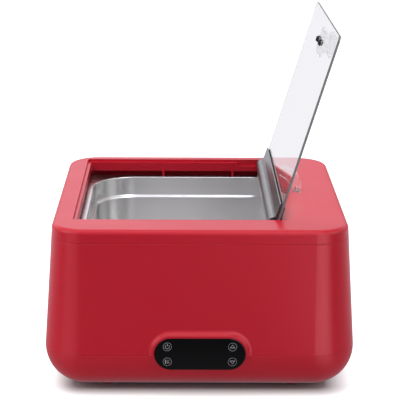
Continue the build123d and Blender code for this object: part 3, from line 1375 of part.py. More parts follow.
def make_heater_leads():
    """The two leads from the element's cold ends, down through the shield to the terminals."""
    x_end = POWER_BOARD_X + TERMINAL_X
    z_end = Z_BOARD_TOP + TERMINAL_HEIGHT
    z_start = Z_PLATE - ELEMENT_RADIUS
    y_start = PAN_Y - ELEMENT_LOOP_LENGTH / 2 + ELEMENT_TAIL
    with BuildPart() as heater_leads:
        for side, z_run, number in ((-1, Z_WIRE_LOW, 4), (1, Z_WIRE_HIGH, 3)):
            x_start = side * ELEMENT_GAP / 2
            route = [
                (x_start, y_start, z_start),
                (x_start, LEAD_DROP_Y, z_start),
                (x_start, LEAD_DROP_Y, z_run),
                (x_end, LEAD_DROP_Y, z_run),
                (x_end, terminal_y(number), z_run),
                (x_end, terminal_y(number), z_end),
            ]
            add(wire(route, WIRE_RADIUS))
    return heater_leads.part


def make_mains_leads():
    """The three leads from the inlet's tabs to the terminals."""
    x_end = POWER_BOARD_X + TERMINAL_X
    z_end = Z_BOARD_TOP + TERMINAL_HEIGHT
    y_start = Y_INLET - INLET_BODY_DEPTH - INLET_TAB_LENGTH
    y_drop = y_start - 2 * WIRE_BEND
    with BuildPart() as mains_leads:
        for number in range(3):
            x_start = INLET_X + (1 - number) * INLET_TAB_SPACING
            route = [
                (x_start, y_start, INLET_Z),
                (x_start, y_drop, INLET_Z),
                (x_start, y_drop, Z_WIRE_LOW - 4),
                (x_start, terminal_y(number), Z_WIRE_LOW - 4),
                (x_end, terminal_y(number), Z_WIRE_LOW - 4),
                (x_end, terminal_y(number), z_end),
            ]
            add(wire(route, WIRE_RADIUS))
    return mains_leads.part


def make_sensor_leads():
    """The pair of thin leads from the temperature sensor to its header."""
    x_end = POWER_BOARD_X + HEADER_X
    y_end = POWER_BOARD_Y + HEADER_Y
    with BuildPart() as sensor_leads:
        for step in (-1.5, 1.5):
            route = [
                (0, SENSOR_Y + step, Z_PLATE - SENSOR_HEIGHT),
                (0, SENSOR_Y + step, Z_WIRE_LOW),
                (x_end, y_end + step, Z_WIRE_LOW),
                (x_end, y_end + step, Z_BOARD_TOP + HEADER_HEIGHT),
            ]
            add(wire(route, SIGNAL_WIRE_RADIUS))
    return sensor_leads.part


def make_ribbon_cable():
    """The flat cable from the touch board to the power board."""
    y_start = Y_PANEL + LENS_THICKNESS + DISPLAY_THICKNESS + BOARD_THICKNESS
    y_end = POWER_BOARD_Y + RIBBON_HEADER_Y
    with BuildPart() as ribbon_cable:
        with BuildLine():
            FilletPolyline(
                (RIBBON_X, y_start, Z_RIBBON),
                (RIBBON_X, y_end, Z_RIBBON),
                (RIBBON_X, y_end, Z_BOARD_TOP + HEADER_HEIGHT),
                radius=2 * WIRE_BEND,
            )
        with BuildSketch(Plane(origin=(RIBBON_X, y_start, Z_RIBBON), x_dir=(1, 0, 0), z_dir=(0, 1, 0))):
            Rectangle(RIBBON_WIDTH, RIBBON_THICKNESS)
        sweep()
    return ribbon_cable.part


SUB_PARTS = {
    "base_shell": make_base_shell,
    "middle_shell": make_middle_shell,
    "top_cover": make_top_cover,
    "lid_glass": make_lid_glass,
    "lid_profile": make_lid_profile,
    "inner_gasket": make_inner_gasket,
    "outer_clamp": make_outer_clamp,
    "clamp_screws": make_clamp_screws,
    "profile_end_caps": make_profile_end_caps,
    "hinge_bushes": make_hinge_bushes,
    "hinge_pins": make_hinge_pins,
    "lid_handle": make_lid_handle,
    "handle_washers": make_handle_washers,
    "handle_screws": make_handle_screws,
    "hinge_trough": make_hinge_trough,
    "trough_screws": make_trough_screws,
    "lid_stop": make_lid_stop,
    "stop_screw": make_stop_screw,
    "serving_pan": make_serving_pan,
    "heated_well": make_heated_well,
    "heater_plate": make_heater_plate,
    "heating_element": make_heating_element,
    "element_clips": make_element_clips,
    "thermostat": make_thermostat,
    "thermal_cutout": make_thermal_cutout,
    "temperature_sensor": make_temperature_sensor,
    "shield_studs": make_shield_studs,
    "heat_shield": make_heat_shield,
    "shield_screws": make_shield_screws,
    "lead_grommets": make_lead_grommets,
    "heater_leads": make_heater_leads,
    "mains_leads": make_mains_leads,
    "sensor_leads": make_sensor_leads,
    "ribbon_cable": make_ribbon_cable,
    "control_lens": make_control_lens,
    "touch_board": make_touch_board,
    "display_module": make_display_module,
    "touch_springs": make_touch_springs,
    "power_board": make_power_board,
    "transformer": make_transformer,
    "relay": make_relay,
    "terminal_block": make_terminal_block,
    "capacitors": make_capacitors,
    "signal_headers": make_signal_headers,
    "board_screws": make_board_screws,
    "mains_inlet": make_mains_inlet,
    "inlet_screws": make_inlet_screws,
    "feet": make_feet,
    "foot_screws": make_foot_screws,
    "shell_screws": make_shell_screws,
}

os.makedirs("parts", exist_ok=True)
for label, make in SUB_PARTS.items():
    piece = make()
    piece.label = label
    export_step(piece, f"parts/{label}.step")
    print(label, len(piece.solids()), round(piece.volume))
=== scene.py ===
"""Looks of the chafing dish: its finishes, its finely modelled pieces, and the studio that it stands in."""

from __future__ import annotations

import sys

import logging
from collections.abc import Callable, Iterable, Mapping, Sequence
from dataclasses import dataclass
from enum import Enum
from math import cos, pi, radians, sin

import bmesh
import bpy
from mathutils import Matrix, Vector


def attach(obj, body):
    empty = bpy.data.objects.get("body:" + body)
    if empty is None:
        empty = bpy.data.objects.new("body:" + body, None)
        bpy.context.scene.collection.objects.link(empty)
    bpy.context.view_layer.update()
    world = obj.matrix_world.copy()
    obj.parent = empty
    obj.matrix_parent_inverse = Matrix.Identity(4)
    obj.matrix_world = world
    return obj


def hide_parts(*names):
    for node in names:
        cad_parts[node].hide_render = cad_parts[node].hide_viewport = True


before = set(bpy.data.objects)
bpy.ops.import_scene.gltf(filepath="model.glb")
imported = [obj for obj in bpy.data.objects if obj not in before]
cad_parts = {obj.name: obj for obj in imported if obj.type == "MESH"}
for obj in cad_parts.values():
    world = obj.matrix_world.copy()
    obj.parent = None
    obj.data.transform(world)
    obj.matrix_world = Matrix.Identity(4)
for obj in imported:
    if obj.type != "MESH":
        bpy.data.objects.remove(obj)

LOG = logging.getLogger("chafing_dish")

Colour = Point = tuple[float, float, float]
Pair = tuple[float, float]
Piece = bpy.types.Object
Node = bpy.types.Node
Socket = bpy.types.NodeSocket
Feed = Socket | float | Point
Test = Callable[[Vector, Vector], bool]

MM = 0.001
TINY = 1e-5  # how near a plane an edge counts as lying in it, in metres
ALIGNED = 0.9  # the cosine from which a direction counts as an axis's
UNBOUNCED = 0.5  # a ray's diffuse depth is below this until it meets a matt surface
ORIGIN = (0.0, 0.0, 0.0)
UNIT = (1.0, 1.0, 1.0)
WHITE = (1.0, 1.0, 1.0)
RISING = (0.0, 1.0)
FALLING = (1.0, 0.0)


class Body(Enum):
    """The bodies that a piece can ride on."""

    BASE = "base"
    COVER = "cover"
    LID = "lid"


# --- Modelling -------------------------------------------------------------------------------------------


class Bench:
    """Modelling by Blender's own operators, one piece at a time."""

    @staticmethod
    def hold(*pieces: Piece) -> None:
        """Selects these pieces alone and makes the first one active.

        Args:
            pieces: The pieces to work on.
        """
        bpy.ops.object.select_all(action="DESELECT")
        for piece in pieces:
            piece.select_set(True)
        bpy.context.view_layer.objects.active = pieces[0]

    @staticmethod
    def discard(piece: Piece) -> None:
        """Takes a piece off the bench."""
        bpy.data.objects.remove(piece, do_unlink=True)

    @staticmethod
    def settle(piece: Piece) -> None:
        """Moves the piece's place, turn and size into its mesh."""
        Bench.hold(piece)
        bpy.ops.object.transform_apply(location=True, rotation=True, scale=True)

    @staticmethod
    def place(piece: Piece, matrix: Matrix) -> Piece:
        """Puts a piece that was modelled at the origin into its place.

        Args:
            piece: The piece to move.
            matrix: Its place.

        Returns:
            The piece.
        """
        piece.matrix_world = matrix
        bpy.context.view_layer.update()
        Bench.settle(piece)
        return piece

    @staticmethod
    def add(name: str, primitive: Callable[..., object], scale: Point = UNIT, **settings: object) -> Piece:
        """Adds a primitive with nothing else selected, names it and settles its size.

        Args:
            name: The piece's name.
            primitive: The operator that adds it.
            scale: What its sides are multiplied by.
            settings: The operator's options.

        Returns:
            The new piece.
        """
        bpy.ops.object.select_all(action="DESELECT")
        primitive(**settings)
        piece = bpy.context.view_layer.objects.active
        piece.name = piece.data.name = name
        piece.scale = scale
        Bench.settle(piece)
        return piece

    @staticmethod
    def block(name: str, size: Point, middle: Point = ORIGIN) -> Piece:
        """Adds a box of a size round a middle."""
        return Bench.add(name, bpy.ops.mesh.primitive_cube_add, size, size=1.0, location=middle)

    @staticmethod
    def sheet(name: str, width: float, depth: float, middle: Point = ORIGIN) -> Piece:
        """Adds a level rectangle round a middle."""
        size = (width, depth, 1.0)
        return Bench.add(name, bpy.ops.mesh.primitive_plane_add, size, size=1.0, location=middle)

    @staticmethod
    def disc(name: str, radius: float, height: float, low: Point = ORIGIN, sides: int = 48) -> Piece:
        """Adds an upright round bar whose lower face has its middle at `low`."""
        middle = (low[0], low[1], low[2] + height / 2)
        return Bench.add(name, bpy.ops.mesh.primitive_cylinder_add, vertices=sides, radius=radius,
                         depth=height, location=middle)

    @staticmethod
    def draw(name: str, lengthwise: bool, breadth: Pair, sections: Sequence[Point]) -> Piece:
        """Draws a bar upwards out of its foot, through sections of changing width.

        Args:
            name: The piece's name.
            lengthwise: True where the sections' ends lie along Y, False where they lie along X.
            breadth: The bar's low and high side along the other axis.
            sections: Height, low end and high end of each section, from the foot up.

        Returns:
            The bar, closed and facing outwards.
        """
        def aligned(ends: float, sides: float, height: float) -> Point:
            """Puts the ends' number and the sides' number on their axes."""
            return (sides, ends, height) if lengthwise else (ends, sides, height)

        side = sum(breadth) / 2
        spots = [Vector(aligned((low + high) / 2, side, height)) for height, low, high in sections]
        widths = [high - low for _, low, high in sections]
        bar = Bench.sheet(name, *aligned(widths[0], breadth[1] - breadth[0], 1.0)[:2], tuple(spots[0]))
        Bench.pick(bar, "FACE", lambda at, way: True)
        for i in range(1, len(sections)):
            step = tuple(spots[i] - spots[i - 1])
            bpy.ops.mesh.extrude_region_move(TRANSFORM_OT_translate={"value": step})
            share = widths[i] / widths[i - 1]
            bpy.ops.transform.resize(value=aligned(share, 1.0, 1.0), center_override=tuple(spots[i]))
        Bench.done()
        Bench.outward(bar)
        return bar

    @staticmethod
    def pick(piece: Piece, mode: str, test: Test) -> None:
        """Opens the piece in edit mode with the faces or edges selected that pass a test.

        Args:
            piece: The piece to edit.
            mode: FACE or EDGE.
            test: Takes an element's middle, and a face's normal or an edge's direction.
        """
        Bench.hold(piece)
        bpy.ops.object.mode_set(mode="EDIT")
        bpy.ops.mesh.select_mode(type=mode)
        bpy.ops.mesh.select_all(action="DESELECT")
        form = bmesh.from_edit_mesh(piece.data)
        form.normal_update()
        if mode == "FACE":
            chosen = [face for face in form.faces if test(face.calc_center_median(), face.normal)]
        else:
            ends = [(edge, edge.verts[0].co, edge.verts[1].co) for edge in form.edges]
            chosen = [edge for edge, low, high in ends if test((low + high) / 2, (high - low).normalized())]
        for element in chosen:
            element.select_set(True)
        form.select_flush_mode()
        bmesh.update_edit_mesh(piece.data)

    @staticmethod
    def done() -> None:
        """Leaves edit mode."""
        bpy.ops.object.mode_set(mode="OBJECT")

    @staticmethod
    def round_edges(piece: Piece, radius: float, segments: int, test: Test) -> None:
        """Rounds the edges that pass a test.

        Args:
            piece: The piece to work on.
            radius: How far the rounding reaches.
            segments: Its steps.
            test: Takes an edge's middle and direction.
        """
        Bench.pick(piece, "EDGE", test)
        bpy.ops.mesh.bevel(offset=radius, segments=segments, affect="EDGES")
        Bench.done()

    @staticmethod
    def sink_sides(piece: Piece, axis: Point, border: float, depth: float) -> None:
        """Sinks the piece's two sides that face along an axis, leaving a border round each.

        Args:
            piece: The piece to work on.
            axis: The first side's outward direction.
            border: The border's width.
            depth: How deep a side is sunk.
        """
        for outward in (Vector(axis), -Vector(axis)):
            Bench.pick(piece, "FACE", lambda at, way: way.dot(outward) > ALIGNED)
            bpy.ops.mesh.inset(thickness=border, depth=-depth)
            Bench.done()

    @staticmethod
    def modify(piece: Piece, kind: str, **settings: object) -> None:
        """Adds a modifier and applies it.

        Args:
            piece: The piece to change.
            kind: The modifier's type.
            settings: Its options.
        """
        Bench.hold(piece)
        modifier = piece.modifiers.new(kind, kind)
        for key, value in settings.items():
            setattr(modifier, key, value)
        bpy.ops.object.modifier_apply(modifier=modifier.name)

    @staticmethod
    def cut(piece: Piece, tool: Piece) -> None:
        """Takes the tool's shape out of the piece, and the tool away."""
        Bench.modify(piece, "BOOLEAN", operation="DIFFERENCE", solver="EXACT", object=tool)
        Bench.discard(tool)

    @staticmethod
    def bore(piece: Piece, radius: float, height: float, low: Point, sides: int = 32) -> None:
        """Drills an upright round hole that starts at `low`."""
        Bench.cut(piece, Bench.disc("bore", radius, height, low, sides))

    @staticmethod
    def smooth(piece: Piece, angle: float = 40.0) -> None:
        """Shades the piece smooth below an angle, with its large flat faces kept flat.

        Args:
            piece: The piece to shade.
            angle: The angle in degrees.
        """
        Bench.hold(piece)
        bpy.ops.object.shade_smooth_by_angle(angle=radians(angle))
        Bench.modify(piece, "WEIGHTED_NORMAL", keep_sharp=True, weight=100)

    @staticmethod
    def ease(piece: Piece, width: float, segments: int = 2, sharp: float = 50.0,
             shade: float = 40.0) -> None:
        """Eases every sharp edge of a finished shape and shades it.

        Args:
            piece: The piece to finish.
            width: How far the easing reaches.
            segments: Its steps.
            sharp: The angle in degrees from which an edge is eased.
            shade: The angle in degrees from which an edge shows in the shading.
        """
        Bench.modify(piece, "BEVEL", width=width, segments=segments, limit_method="ANGLE",
                     angle_limit=radians(sharp))
        Bench.smooth(piece, shade)

    @staticmethod
    def outward(piece: Piece) -> None:
        """Merges doubles and turns every face outwards.

        Args:
            piece: The piece to mend.
        """
        Bench.hold(piece)
        bpy.ops.object.mode_set(mode="EDIT")
        bpy.ops.mesh.select_all(action="SELECT")
        bpy.ops.mesh.remove_doubles(threshold=1e-6)
        bpy.ops.mesh.normals_make_consistent(inside=False)
        Bench.done()

    @staticmethod
    def join(pieces: Sequence[Piece], name: str) -> Piece:
        """Makes several pieces one object.

        Args:
            pieces: The pieces, of which the first one stays.
            name: The object's name.

        Returns:
            The object.
        """
        Bench.hold(*pieces)
        bpy.ops.object.join()
        pieces[0].name = pieces[0].data.name = name
        return pieces[0]

    @staticmethod
    def repeat(pattern: Piece, name: str, places: Iterable[Matrix]) -> Piece:
        """Copies a pattern to each place, each copy with its own mesh, and joins the copies.

        Args:
            pattern: The piece to copy, modelled at the origin; it is taken away.
            name: The name of the joined copies.
            places: Each copy's place.

        Returns:
            The copies as one object.
        """
        copies = []
        for place in places:
            twin = pattern.copy()
            twin.data = pattern.data.copy()
            bpy.context.scene.collection.objects.link(twin)
            copies.append(Bench.place(twin, place))
        Bench.discard(pattern)
        return Bench.join(copies, name)


# --- Shared surface effects ------------------------------------------------------------------------------


class Desk:
    """A node tree with short calls for its nodes and links."""

    def __init__(self, tree: bpy.types.NodeTree) -> None:
        """Takes the tree to work on."""
        self.tree = tree

    @classmethod
    def emptied(cls, owner: bpy.types.Material | bpy.types.World) -> Desk:
        """Empties the tree of a material or a world.

        Args:
            owner: The material or world.

        Returns:
            A desk for the tree.
        """
        owner.use_nodes = True
        owner.node_tree.nodes.clear()
        return cls(owner.node_tree)

    def feed(self, socket: Socket, value: Feed) -> None:
        """Gives an input a link or a plain value, with an alpha of 1 after a plain colour.

        Args:
            socket: The input.
            value: A socket, number, vector or colour.
        """
        if isinstance(value, bpy.types.NodeSocket):
            self.tree.links.new(value, socket)
        else:
            socket.default_value = (*value, 1.0) if socket.type == "RGBA" else value

    def node(self, kind: str, inputs: Mapping[str | int, Feed] | None = None, **settings: object) -> Node:
        """Adds a shader node.

        Args:
            kind: Its type, without the words ShaderNode.
            inputs: What its inputs get, by name or number.
            settings: Its options.

        Returns:
            The node.
        """
        node = self.tree.nodes.new(f"ShaderNode{kind}")
        for key, value in settings.items():
            setattr(node, key, value)
        for key, value in (inputs or {}).items():
            self.feed(node.inputs[key], value)
        return node

    def maths(self, operation: str, *values: Feed, clamp: bool = False) -> Socket:
        """Adds a Math node and returns its result."""
        return self.node("Math", dict(enumerate(values)), operation=operation, use_clamp=clamp).outputs[0]

    def times(self, first: Feed, second: Feed) -> Socket:
        """Multiplies two numbers."""
        return self.maths("MULTIPLY", first, second)

    def vector(self, operation: str, *values: Feed) -> Socket:
        """Adds a Vector Math node and returns its result."""
        result = "Value" if operation in ("LENGTH", "DOT_PRODUCT") else "Vector"
        return self.node("VectorMath", dict(enumerate(values)), operation=operation).outputs[result]

    def axes(self, value: Socket) -> Mapping[str, Socket]:
        """Splits a vector into its X, Y and Z."""
        return self.node("SeparateXYZ", {0: value}).outputs

    def span(self, value: Socket, old: Pair, new: Pair = RISING) -> Socket:
        """Maps one range of numbers to another, with both ends held."""
        ends = {"From Min": old[0], "From Max": old[1], "To Min": new[0], "To Max": new[1]}
        return self.node("MapRange", {"Value": value, **ends}, clamp=True).outputs["Result"]

    def blend(self, share: Feed, first: Feed, second: Feed) -> Socket:
        """Mixes two colours by a share."""
        return self.node("Mix", {0: share, 6: first, 7: second}, data_type="RGBA").outputs[2]

    def noise(self, place: Socket, **inputs: Feed) -> Socket:
        """Adds a noise that follows coordinates and returns its value."""
        return self.node("TexNoise", {"Vector": place, **inputs}).outputs["Fac"]

    def mix_shaders(self, share: Socket, first: Socket, second: Socket) -> Socket:
        """Mixes two shaders by a share."""
        return self.node("MixShader", {"Fac": share, 1: first, 2: second}).outputs["Shader"]

    def surface(self, shader: Socket, kind: str = "OutputMaterial") -> None:
        """Makes a shader the tree's result."""
        self.node(kind, {"Surface": shader})


class Effect(Enum):
    """The surface effects that several finishes share."""

    MOTTLE = "mottle"
    GRAIN = "grain"
    DUST = "settled dust"
    EDGE = "worn edge"


class Effects:
    """Builds each shared effect once, as a node group.

    The edges are the noise's values between which a pattern comes in, and the scales are spots per metre.
    """

    CLOUD_EDGE = (0.3, 0.7)
    STREAK_EDGE = (0.35, 0.65)
    PATCH_EDGE = (0.35, 0.75)
    PATCH_SCALE = 22.0
    RUB_EDGE = (0.4, 0.65)
    RUB_SCALE = 160.0
    THIN_TO_FULL = (0.2, 1.0)
    LOOKING_UP = (0.3, 1.0)
    CORNER_TURN = (0.75, 0.995)

    @staticmethod
    def group(effect: Effect) -> bpy.types.NodeTree:
        """Finds an effect's node group, or builds it on first use.

        Args:
            effect: Which effect.

        Returns:
            The group.
        """
        tree = bpy.data.node_groups.get(effect.value)
        if tree is None:
            tree = bpy.data.node_groups.new(effect.value, "ShaderNodeTree")
            builders = {Effect.MOTTLE: Effects._mottle, Effect.GRAIN: Effects._grain,
                        Effect.DUST: Effects._dust, Effect.EDGE: Effects._edge}
            builders[effect](Desk(tree))
        return tree

    @staticmethod
    def _ends(desk: Desk, inputs: Mapping[str, str],
              outputs: Mapping[str, str]) -> tuple[Mapping[str, Socket], Mapping[str, Socket]]:
        """Gives a group its named inputs and outputs.

        Args:
            desk: The group's tree.
            inputs: Each input's name and kind.
            outputs: Each output's name and kind.

        Returns:
            What comes in and what goes out, by name.
        """
        for way, sockets in (("INPUT", inputs), ("OUTPUT", outputs)):
            for name, kind in sockets.items():
                desk.tree.interface.new_socket(name=name, in_out=way, socket_type=f"NodeSocket{kind}")
        nodes = desk.tree.nodes
        return nodes.new("NodeGroupInput").outputs, nodes.new("NodeGroupOutput").inputs

    @staticmethod
    def _mottle(desk: Desk) -> None:
        """Soft, cloudy change between two near colours, with a mask for roughness.

        Args:
            desk: The group's tree.
        """
        start, end = Effects._ends(
            desk, {"Vector": "Vector", "Colour": "Color", "Second Colour": "Color", "Scale": "Float",
                   "Amount": "Float"}, {"Colour": "Color", "Mask": "Float"})
        cloud = desk.noise(start["Vector"], Scale=start["Scale"], Detail=4.0, Roughness=0.6)
        mask = desk.span(cloud, Effects.CLOUD_EDGE)
        share = desk.times(mask, start["Amount"])
        desk.feed(end["Colour"], desk.blend(share, start["Colour"], start["Second Colour"]))
        desk.feed(end["Mask"], mask)

    @staticmethod
    def _grain(desk: Desk) -> None:
        """Fine relief, drawn out along the axes whose stretch is small.

        Args:
            desk: The group's tree.
        """
        start, end = Effects._ends(desk, {"Vector": "Vector", "Stretch": "Vector", "Scale": "Float"},
                                   {"Height": "Float", "Streak": "Float"})
        pulled = desk.vector("MULTIPLY", start["Vector"], start["Stretch"])
        fine = desk.noise(pulled, Scale=start["Scale"], Detail=3.0)
        desk.feed(end["Height"], fine)
        desk.feed(end["Streak"], desk.span(fine, Effects.STREAK_EDGE))

    @staticmethod
    def _dust(desk: Desk) -> None:
        """A thin, patchy film on faces that look up.

        Args:
            desk: The group's tree.
        """
        start, end = Effects._ends(desk, {"Vector": "Vector", "Amount": "Float"}, {"Mask": "Float"})
        height = desk.axes(desk.node("NewGeometry").outputs["Normal"])["Z"]
        patch = desk.noise(start["Vector"], Scale=Effects.PATCH_SCALE, Detail=6.0)
        patchy = desk.span(patch, Effects.PATCH_EDGE, Effects.THIN_TO_FULL)
        cover = desk.times(desk.span(height, Effects.LOOKING_UP), patchy)
        desk.feed(end["Mask"], desk.times(cover, start["Amount"]))

    @staticmethod
    def _edge(desk: Desk) -> None:
        """Rounds edges in the shading, and masks them where they are rubbed.

        Args:
            desk: The group's tree.
        """
        start, end = Effects._ends(desk, {"Vector": "Vector", "Radius": "Float", "Amount": "Float"},
                                   {"Mask": "Float", "Normal": "Vector"})
        rounded = desk.node("Bevel", {"Radius": start["Radius"]}, samples=4).outputs["Normal"]
        turn = desk.vector("DOT_PRODUCT", rounded, desk.node("NewGeometry").outputs["Normal"])
        corner = desk.span(turn, Effects.CORNER_TURN, FALLING)
        rub = desk.noise(start["Vector"], Scale=Effects.RUB_SCALE)
        worn = desk.times(corner, desk.span(rub, Effects.RUB_EDGE, Effects.THIN_TO_FULL))
        desk.feed(end["Mask"], desk.times(worn, start["Amount"]))
        desk.feed(end["Normal"], rounded)


# --- Finishes --------------------------------------------------------------------------------------------


@dataclass(frozen=True)
class Finish:
    """A surface finish with cloudy colour, fine relief, rubbed edges and a little dust.

    Args:
        name: What a maker calls it.
        slot: The record's material slot that it belongs to; not used.
        colour: Its main colour.
        second: The colour that it drifts to.
        roughness: Its mean roughness.
        metallic: 1 for bare metal, 0 otherwise.
        spread: How far the roughness wanders each way.
        mottle_scale: Clouds per metre.
        mottle: How much of the second colour shows.
        grain_scale: Grains per metre.
        grain_stretch: The grain's fineness along X, Y and Z.
        grain_height: The relief's height in metres.
        grain_tone: How much the grain darkens the colour.
        edge_radius: How far the edges are rounded in the shading.
        wear: How far the edges are rubbed.
        worn: The colour of a rubbed edge.
        dust: How much dust lies on it.
        dust_colour: The dust's colour.
        dust_roughness: How much rougher full dust makes it.
        coat: Weight of a clear coat.
        coat_roughness: Roughness of that coat.
        ior: How strongly it mirrors when seen straight on.
        anisotropy: How far the gloss is drawn out by brushing.
    """

    name: str
    slot: str
    colour: Colour
    second: Colour
    roughness: float = 0.5
    metallic: float = 0.0
    spread: float = 0.05
    mottle_scale: float = 30.0
    mottle: float = 0.5
    grain_scale: float = 1500.0
    grain_stretch: Point = UNIT
    grain_height: float = 0.00002
    grain_tone: float = 0.0
    edge_radius: float = 0.0005
    wear: float = 0.15
    worn: Colour = (0.6, 0.6, 0.6)
    dust: float = 0.03
    dust_colour: Colour = (0.55, 0.53, 0.5)
    dust_roughness: float = 0.3
    coat: float = 0.0
    coat_roughness: float = 0.2
    ior: float = 1.5
    anisotropy: float = 0.0

    def material(self) -> bpy.types.Material:
        """Finds the finish's material, or builds it on first use.

        Returns:
            The material.
        """
        material = bpy.data.materials.get(self.name)
        if material is None:
            material = bpy.data.materials.new(self.name)
            self.build(Desk.emptied(material))
        return material

    def effect(self, desk: Desk, effect: Effect, place: Socket, **values: Feed) -> Mapping[str, Socket]:
        """Places a shared effect.

        Args:
            desk: The material's tree.
            effect: Which effect.
            place: The coordinates that it follows.
            values: Its input values by name, with an underscore for a space.

        Returns:
            What comes out of it, by name.
        """
        inputs = {name.replace("_", " "): value for name, value in values.items()}
        return desk.node("Group", {"Vector": place, **inputs}, node_tree=Effects.group(effect)).outputs

    def clouds(self, desk: Desk, place: Socket) -> Mapping[str, Socket]:
        """Places the cloudy colour of this finish."""
        return self.effect(desk, Effect.MOTTLE, place, Colour=self.colour, Second_Colour=self.second,
                           Scale=self.mottle_scale, Amount=self.mottle)

    def pattern(self, desk: Desk, place: Socket, colour: Socket) -> Socket:
        """Adds a finish's own pattern to the colour; a plain finish has none."""
        return colour

    def build(self, desk: Desk) -> None:
        """Fills the material's tree with a Principled shader and all that feeds it.

        Args:
            desk: The material's tree.
        """
        place = desk.node("TexCoord").outputs["Object"]
        cloud = self.clouds(desk, place)
        grain = self.effect(desk, Effect.GRAIN, place, Stretch=self.grain_stretch, Scale=self.grain_scale)
        edge = self.effect(desk, Effect.EDGE, place, Radius=self.edge_radius, Amount=self.wear)
        dust = self.effect(desk, Effect.DUST, place, Amount=self.dust)["Mask"]
        colour = cloud["Colour"]
        if self.grain_tone:
            colour = desk.blend(desk.times(grain["Streak"], self.grain_tone), colour, self.second)
        colour = self.pattern(desk, place, colour)
        colour = desk.blend(edge["Mask"], colour, self.worn)
        colour = desk.blend(dust, colour, self.dust_colour)
        ends = (self.roughness - self.spread, self.roughness + self.spread)
        wander = desk.span(cloud["Mask"], RISING, ends)
        rough = desk.maths("ADD", wander, desk.times(dust, self.dust_roughness), clamp=True)
        relief = desk.node("Bump", {"Distance": self.grain_height, "Height": grain["Height"],
                                    "Normal": edge["Normal"]})
        shader = desk.node("BsdfPrincipled", {
            "Base Color": colour, "Roughness": rough, "Normal": relief.outputs["Normal"],
            "Metallic": self.metallic, "IOR": self.ior, "Coat Weight": self.coat,
            "Coat Roughness": self.coat_roughness, "Anisotropic": self.anisotropy})
        desk.surface(shader.outputs["BSDF"])


@dataclass(frozen=True)
class BoardFinish(Finish):
    """Solder resist over copper tracks, which show as paler lines and pads.

    Args:
        track: The tracks' colour.
        track_scale: Tracks per metre.
        track_edge: Where a track begins to fade and where it ends, in cells.
    """

    track: Colour = (0.05, 0.3, 0.14)
    track_scale: float = 130.0
    track_edge: Pair = (0.03, 0.06)

    def pattern(self, desk: Desk, place: Socket, colour: Socket) -> Socket:
        """Lays tracks over the board.

        Args:
            desk: The material's tree.
            place: The coordinates.
            colour: The plain board's colour.

        Returns:
            The colour with tracks.
        """
        cells = desk.node("TexVoronoi", {"Scale": self.track_scale, "Vector": place},
                          distance="MANHATTAN", feature="DISTANCE_TO_EDGE")
        line = desk.span(cells.outputs["Distance"], self.track_edge, FALLING)
        return desk.blend(line, colour, self.track)


@dataclass(frozen=True)
class BandedFinish(Finish):
    """Bands across one axis, as on taped windings and flat cable.

    Args:
        band: The bands' colour.
        bands_per_metre: How close they are.
        along: The direction across the bands.
        band_edge: The wave's values where a band begins and is full.
        band_depth: How strong a full band is.
    """

    band: Colour = (0.1, 0.1, 0.1)
    bands_per_metre: float = 300.0
    along: Point = (0.0, 0.0, 1.0)
    band_edge: Pair = (0.5, 0.8)
    band_depth: float = 0.8

    def pattern(self, desk: Desk, place: Socket, colour: Socket) -> Socket:
        """Lays the bands over the colour.

        Args:
            desk: The material's tree.
            place: The coordinates.
            colour: The plain colour.

        Returns:
            The banded colour.
        """
        reach = desk.vector("DOT_PRODUCT", place, self.along)
        wave = desk.maths("SINE", desk.times(reach, 2 * pi * self.bands_per_metre))
        return desk.blend(desk.span(wave, self.band_edge, (0.0, self.band_depth)), colour, self.band)


@dataclass(frozen=True)
class ClearFinish(Finish):
    """Clear glass or acrylic: it hardly bends what is seen through it, and mirrors at a slant.

    Args:
        bend: How far light is bent in it.
        clearness: How much light goes through.
        mirror_tint: The colour of its reflections.
        shade_tint: The colour of the light that it lets pass.
    """

    bend: float = 1.02
    clearness: float = 1.0
    mirror_tint: Colour = (0.93, 0.94, 0.9)
    shade_tint: Colour = (0.86, 0.88, 0.87)

    def build(self, desk: Desk) -> None:
        """Fills the tree with a clear shader that lets light pass to what stands behind it.

        Args:
            desk: The material's tree.
        """
        cloud = self.clouds(desk, desk.node("TexCoord").outputs["Object"])
        smear = desk.span(cloud["Mask"], RISING, (self.roughness, self.roughness + self.spread))
        clear = desk.node("BsdfPrincipled", {"Base Color": cloud["Colour"], "Roughness": smear,
                                             "IOR": self.bend, "Transmission Weight": self.clearness})
        mirror = desk.node("BsdfGlossy", {"Roughness": self.roughness, "Color": self.mirror_tint})
        outside = desk.maths("SUBTRACT", 1.0, desk.node("NewGeometry").outputs["Backfacing"])
        share = desk.times(desk.node("Fresnel", {"IOR": self.ior}).outputs["Fac"], outside)
        both = desk.mix_shaders(share, clear.outputs["BSDF"], mirror.outputs["BSDF"])
        passing = desk.node("BsdfTransparent", {"Color": self.shade_tint})
        shadow = desk.node("LightPath").outputs["Is Shadow Ray"]
        desk.surface(desk.mix_shaders(shadow, both, passing.outputs["BSDF"]))


@dataclass(frozen=True)
class GroundEdgeFinish(Finish):
    """A ground glass edge, dark from outside; where it is seen through the glass from inside, it is painted
    pale, as painted light that stands in for the light coming through the glass.

    Args:
        inside: Its painted pale colour from inside, which stands in for the light coming through the glass.
    """

    # painted light: the edge's faces seen from inside the glass get this pale colour
    inside: Colour = (0.93, 0.94, 0.935)

    def pattern(self, desk: Desk, place: Socket, colour: Socket) -> Socket:
        """Paints the faces that are seen from behind pale, as painted light."""
        return desk.blend(desk.node("NewGeometry").outputs["Backfacing"], colour, self.inside)


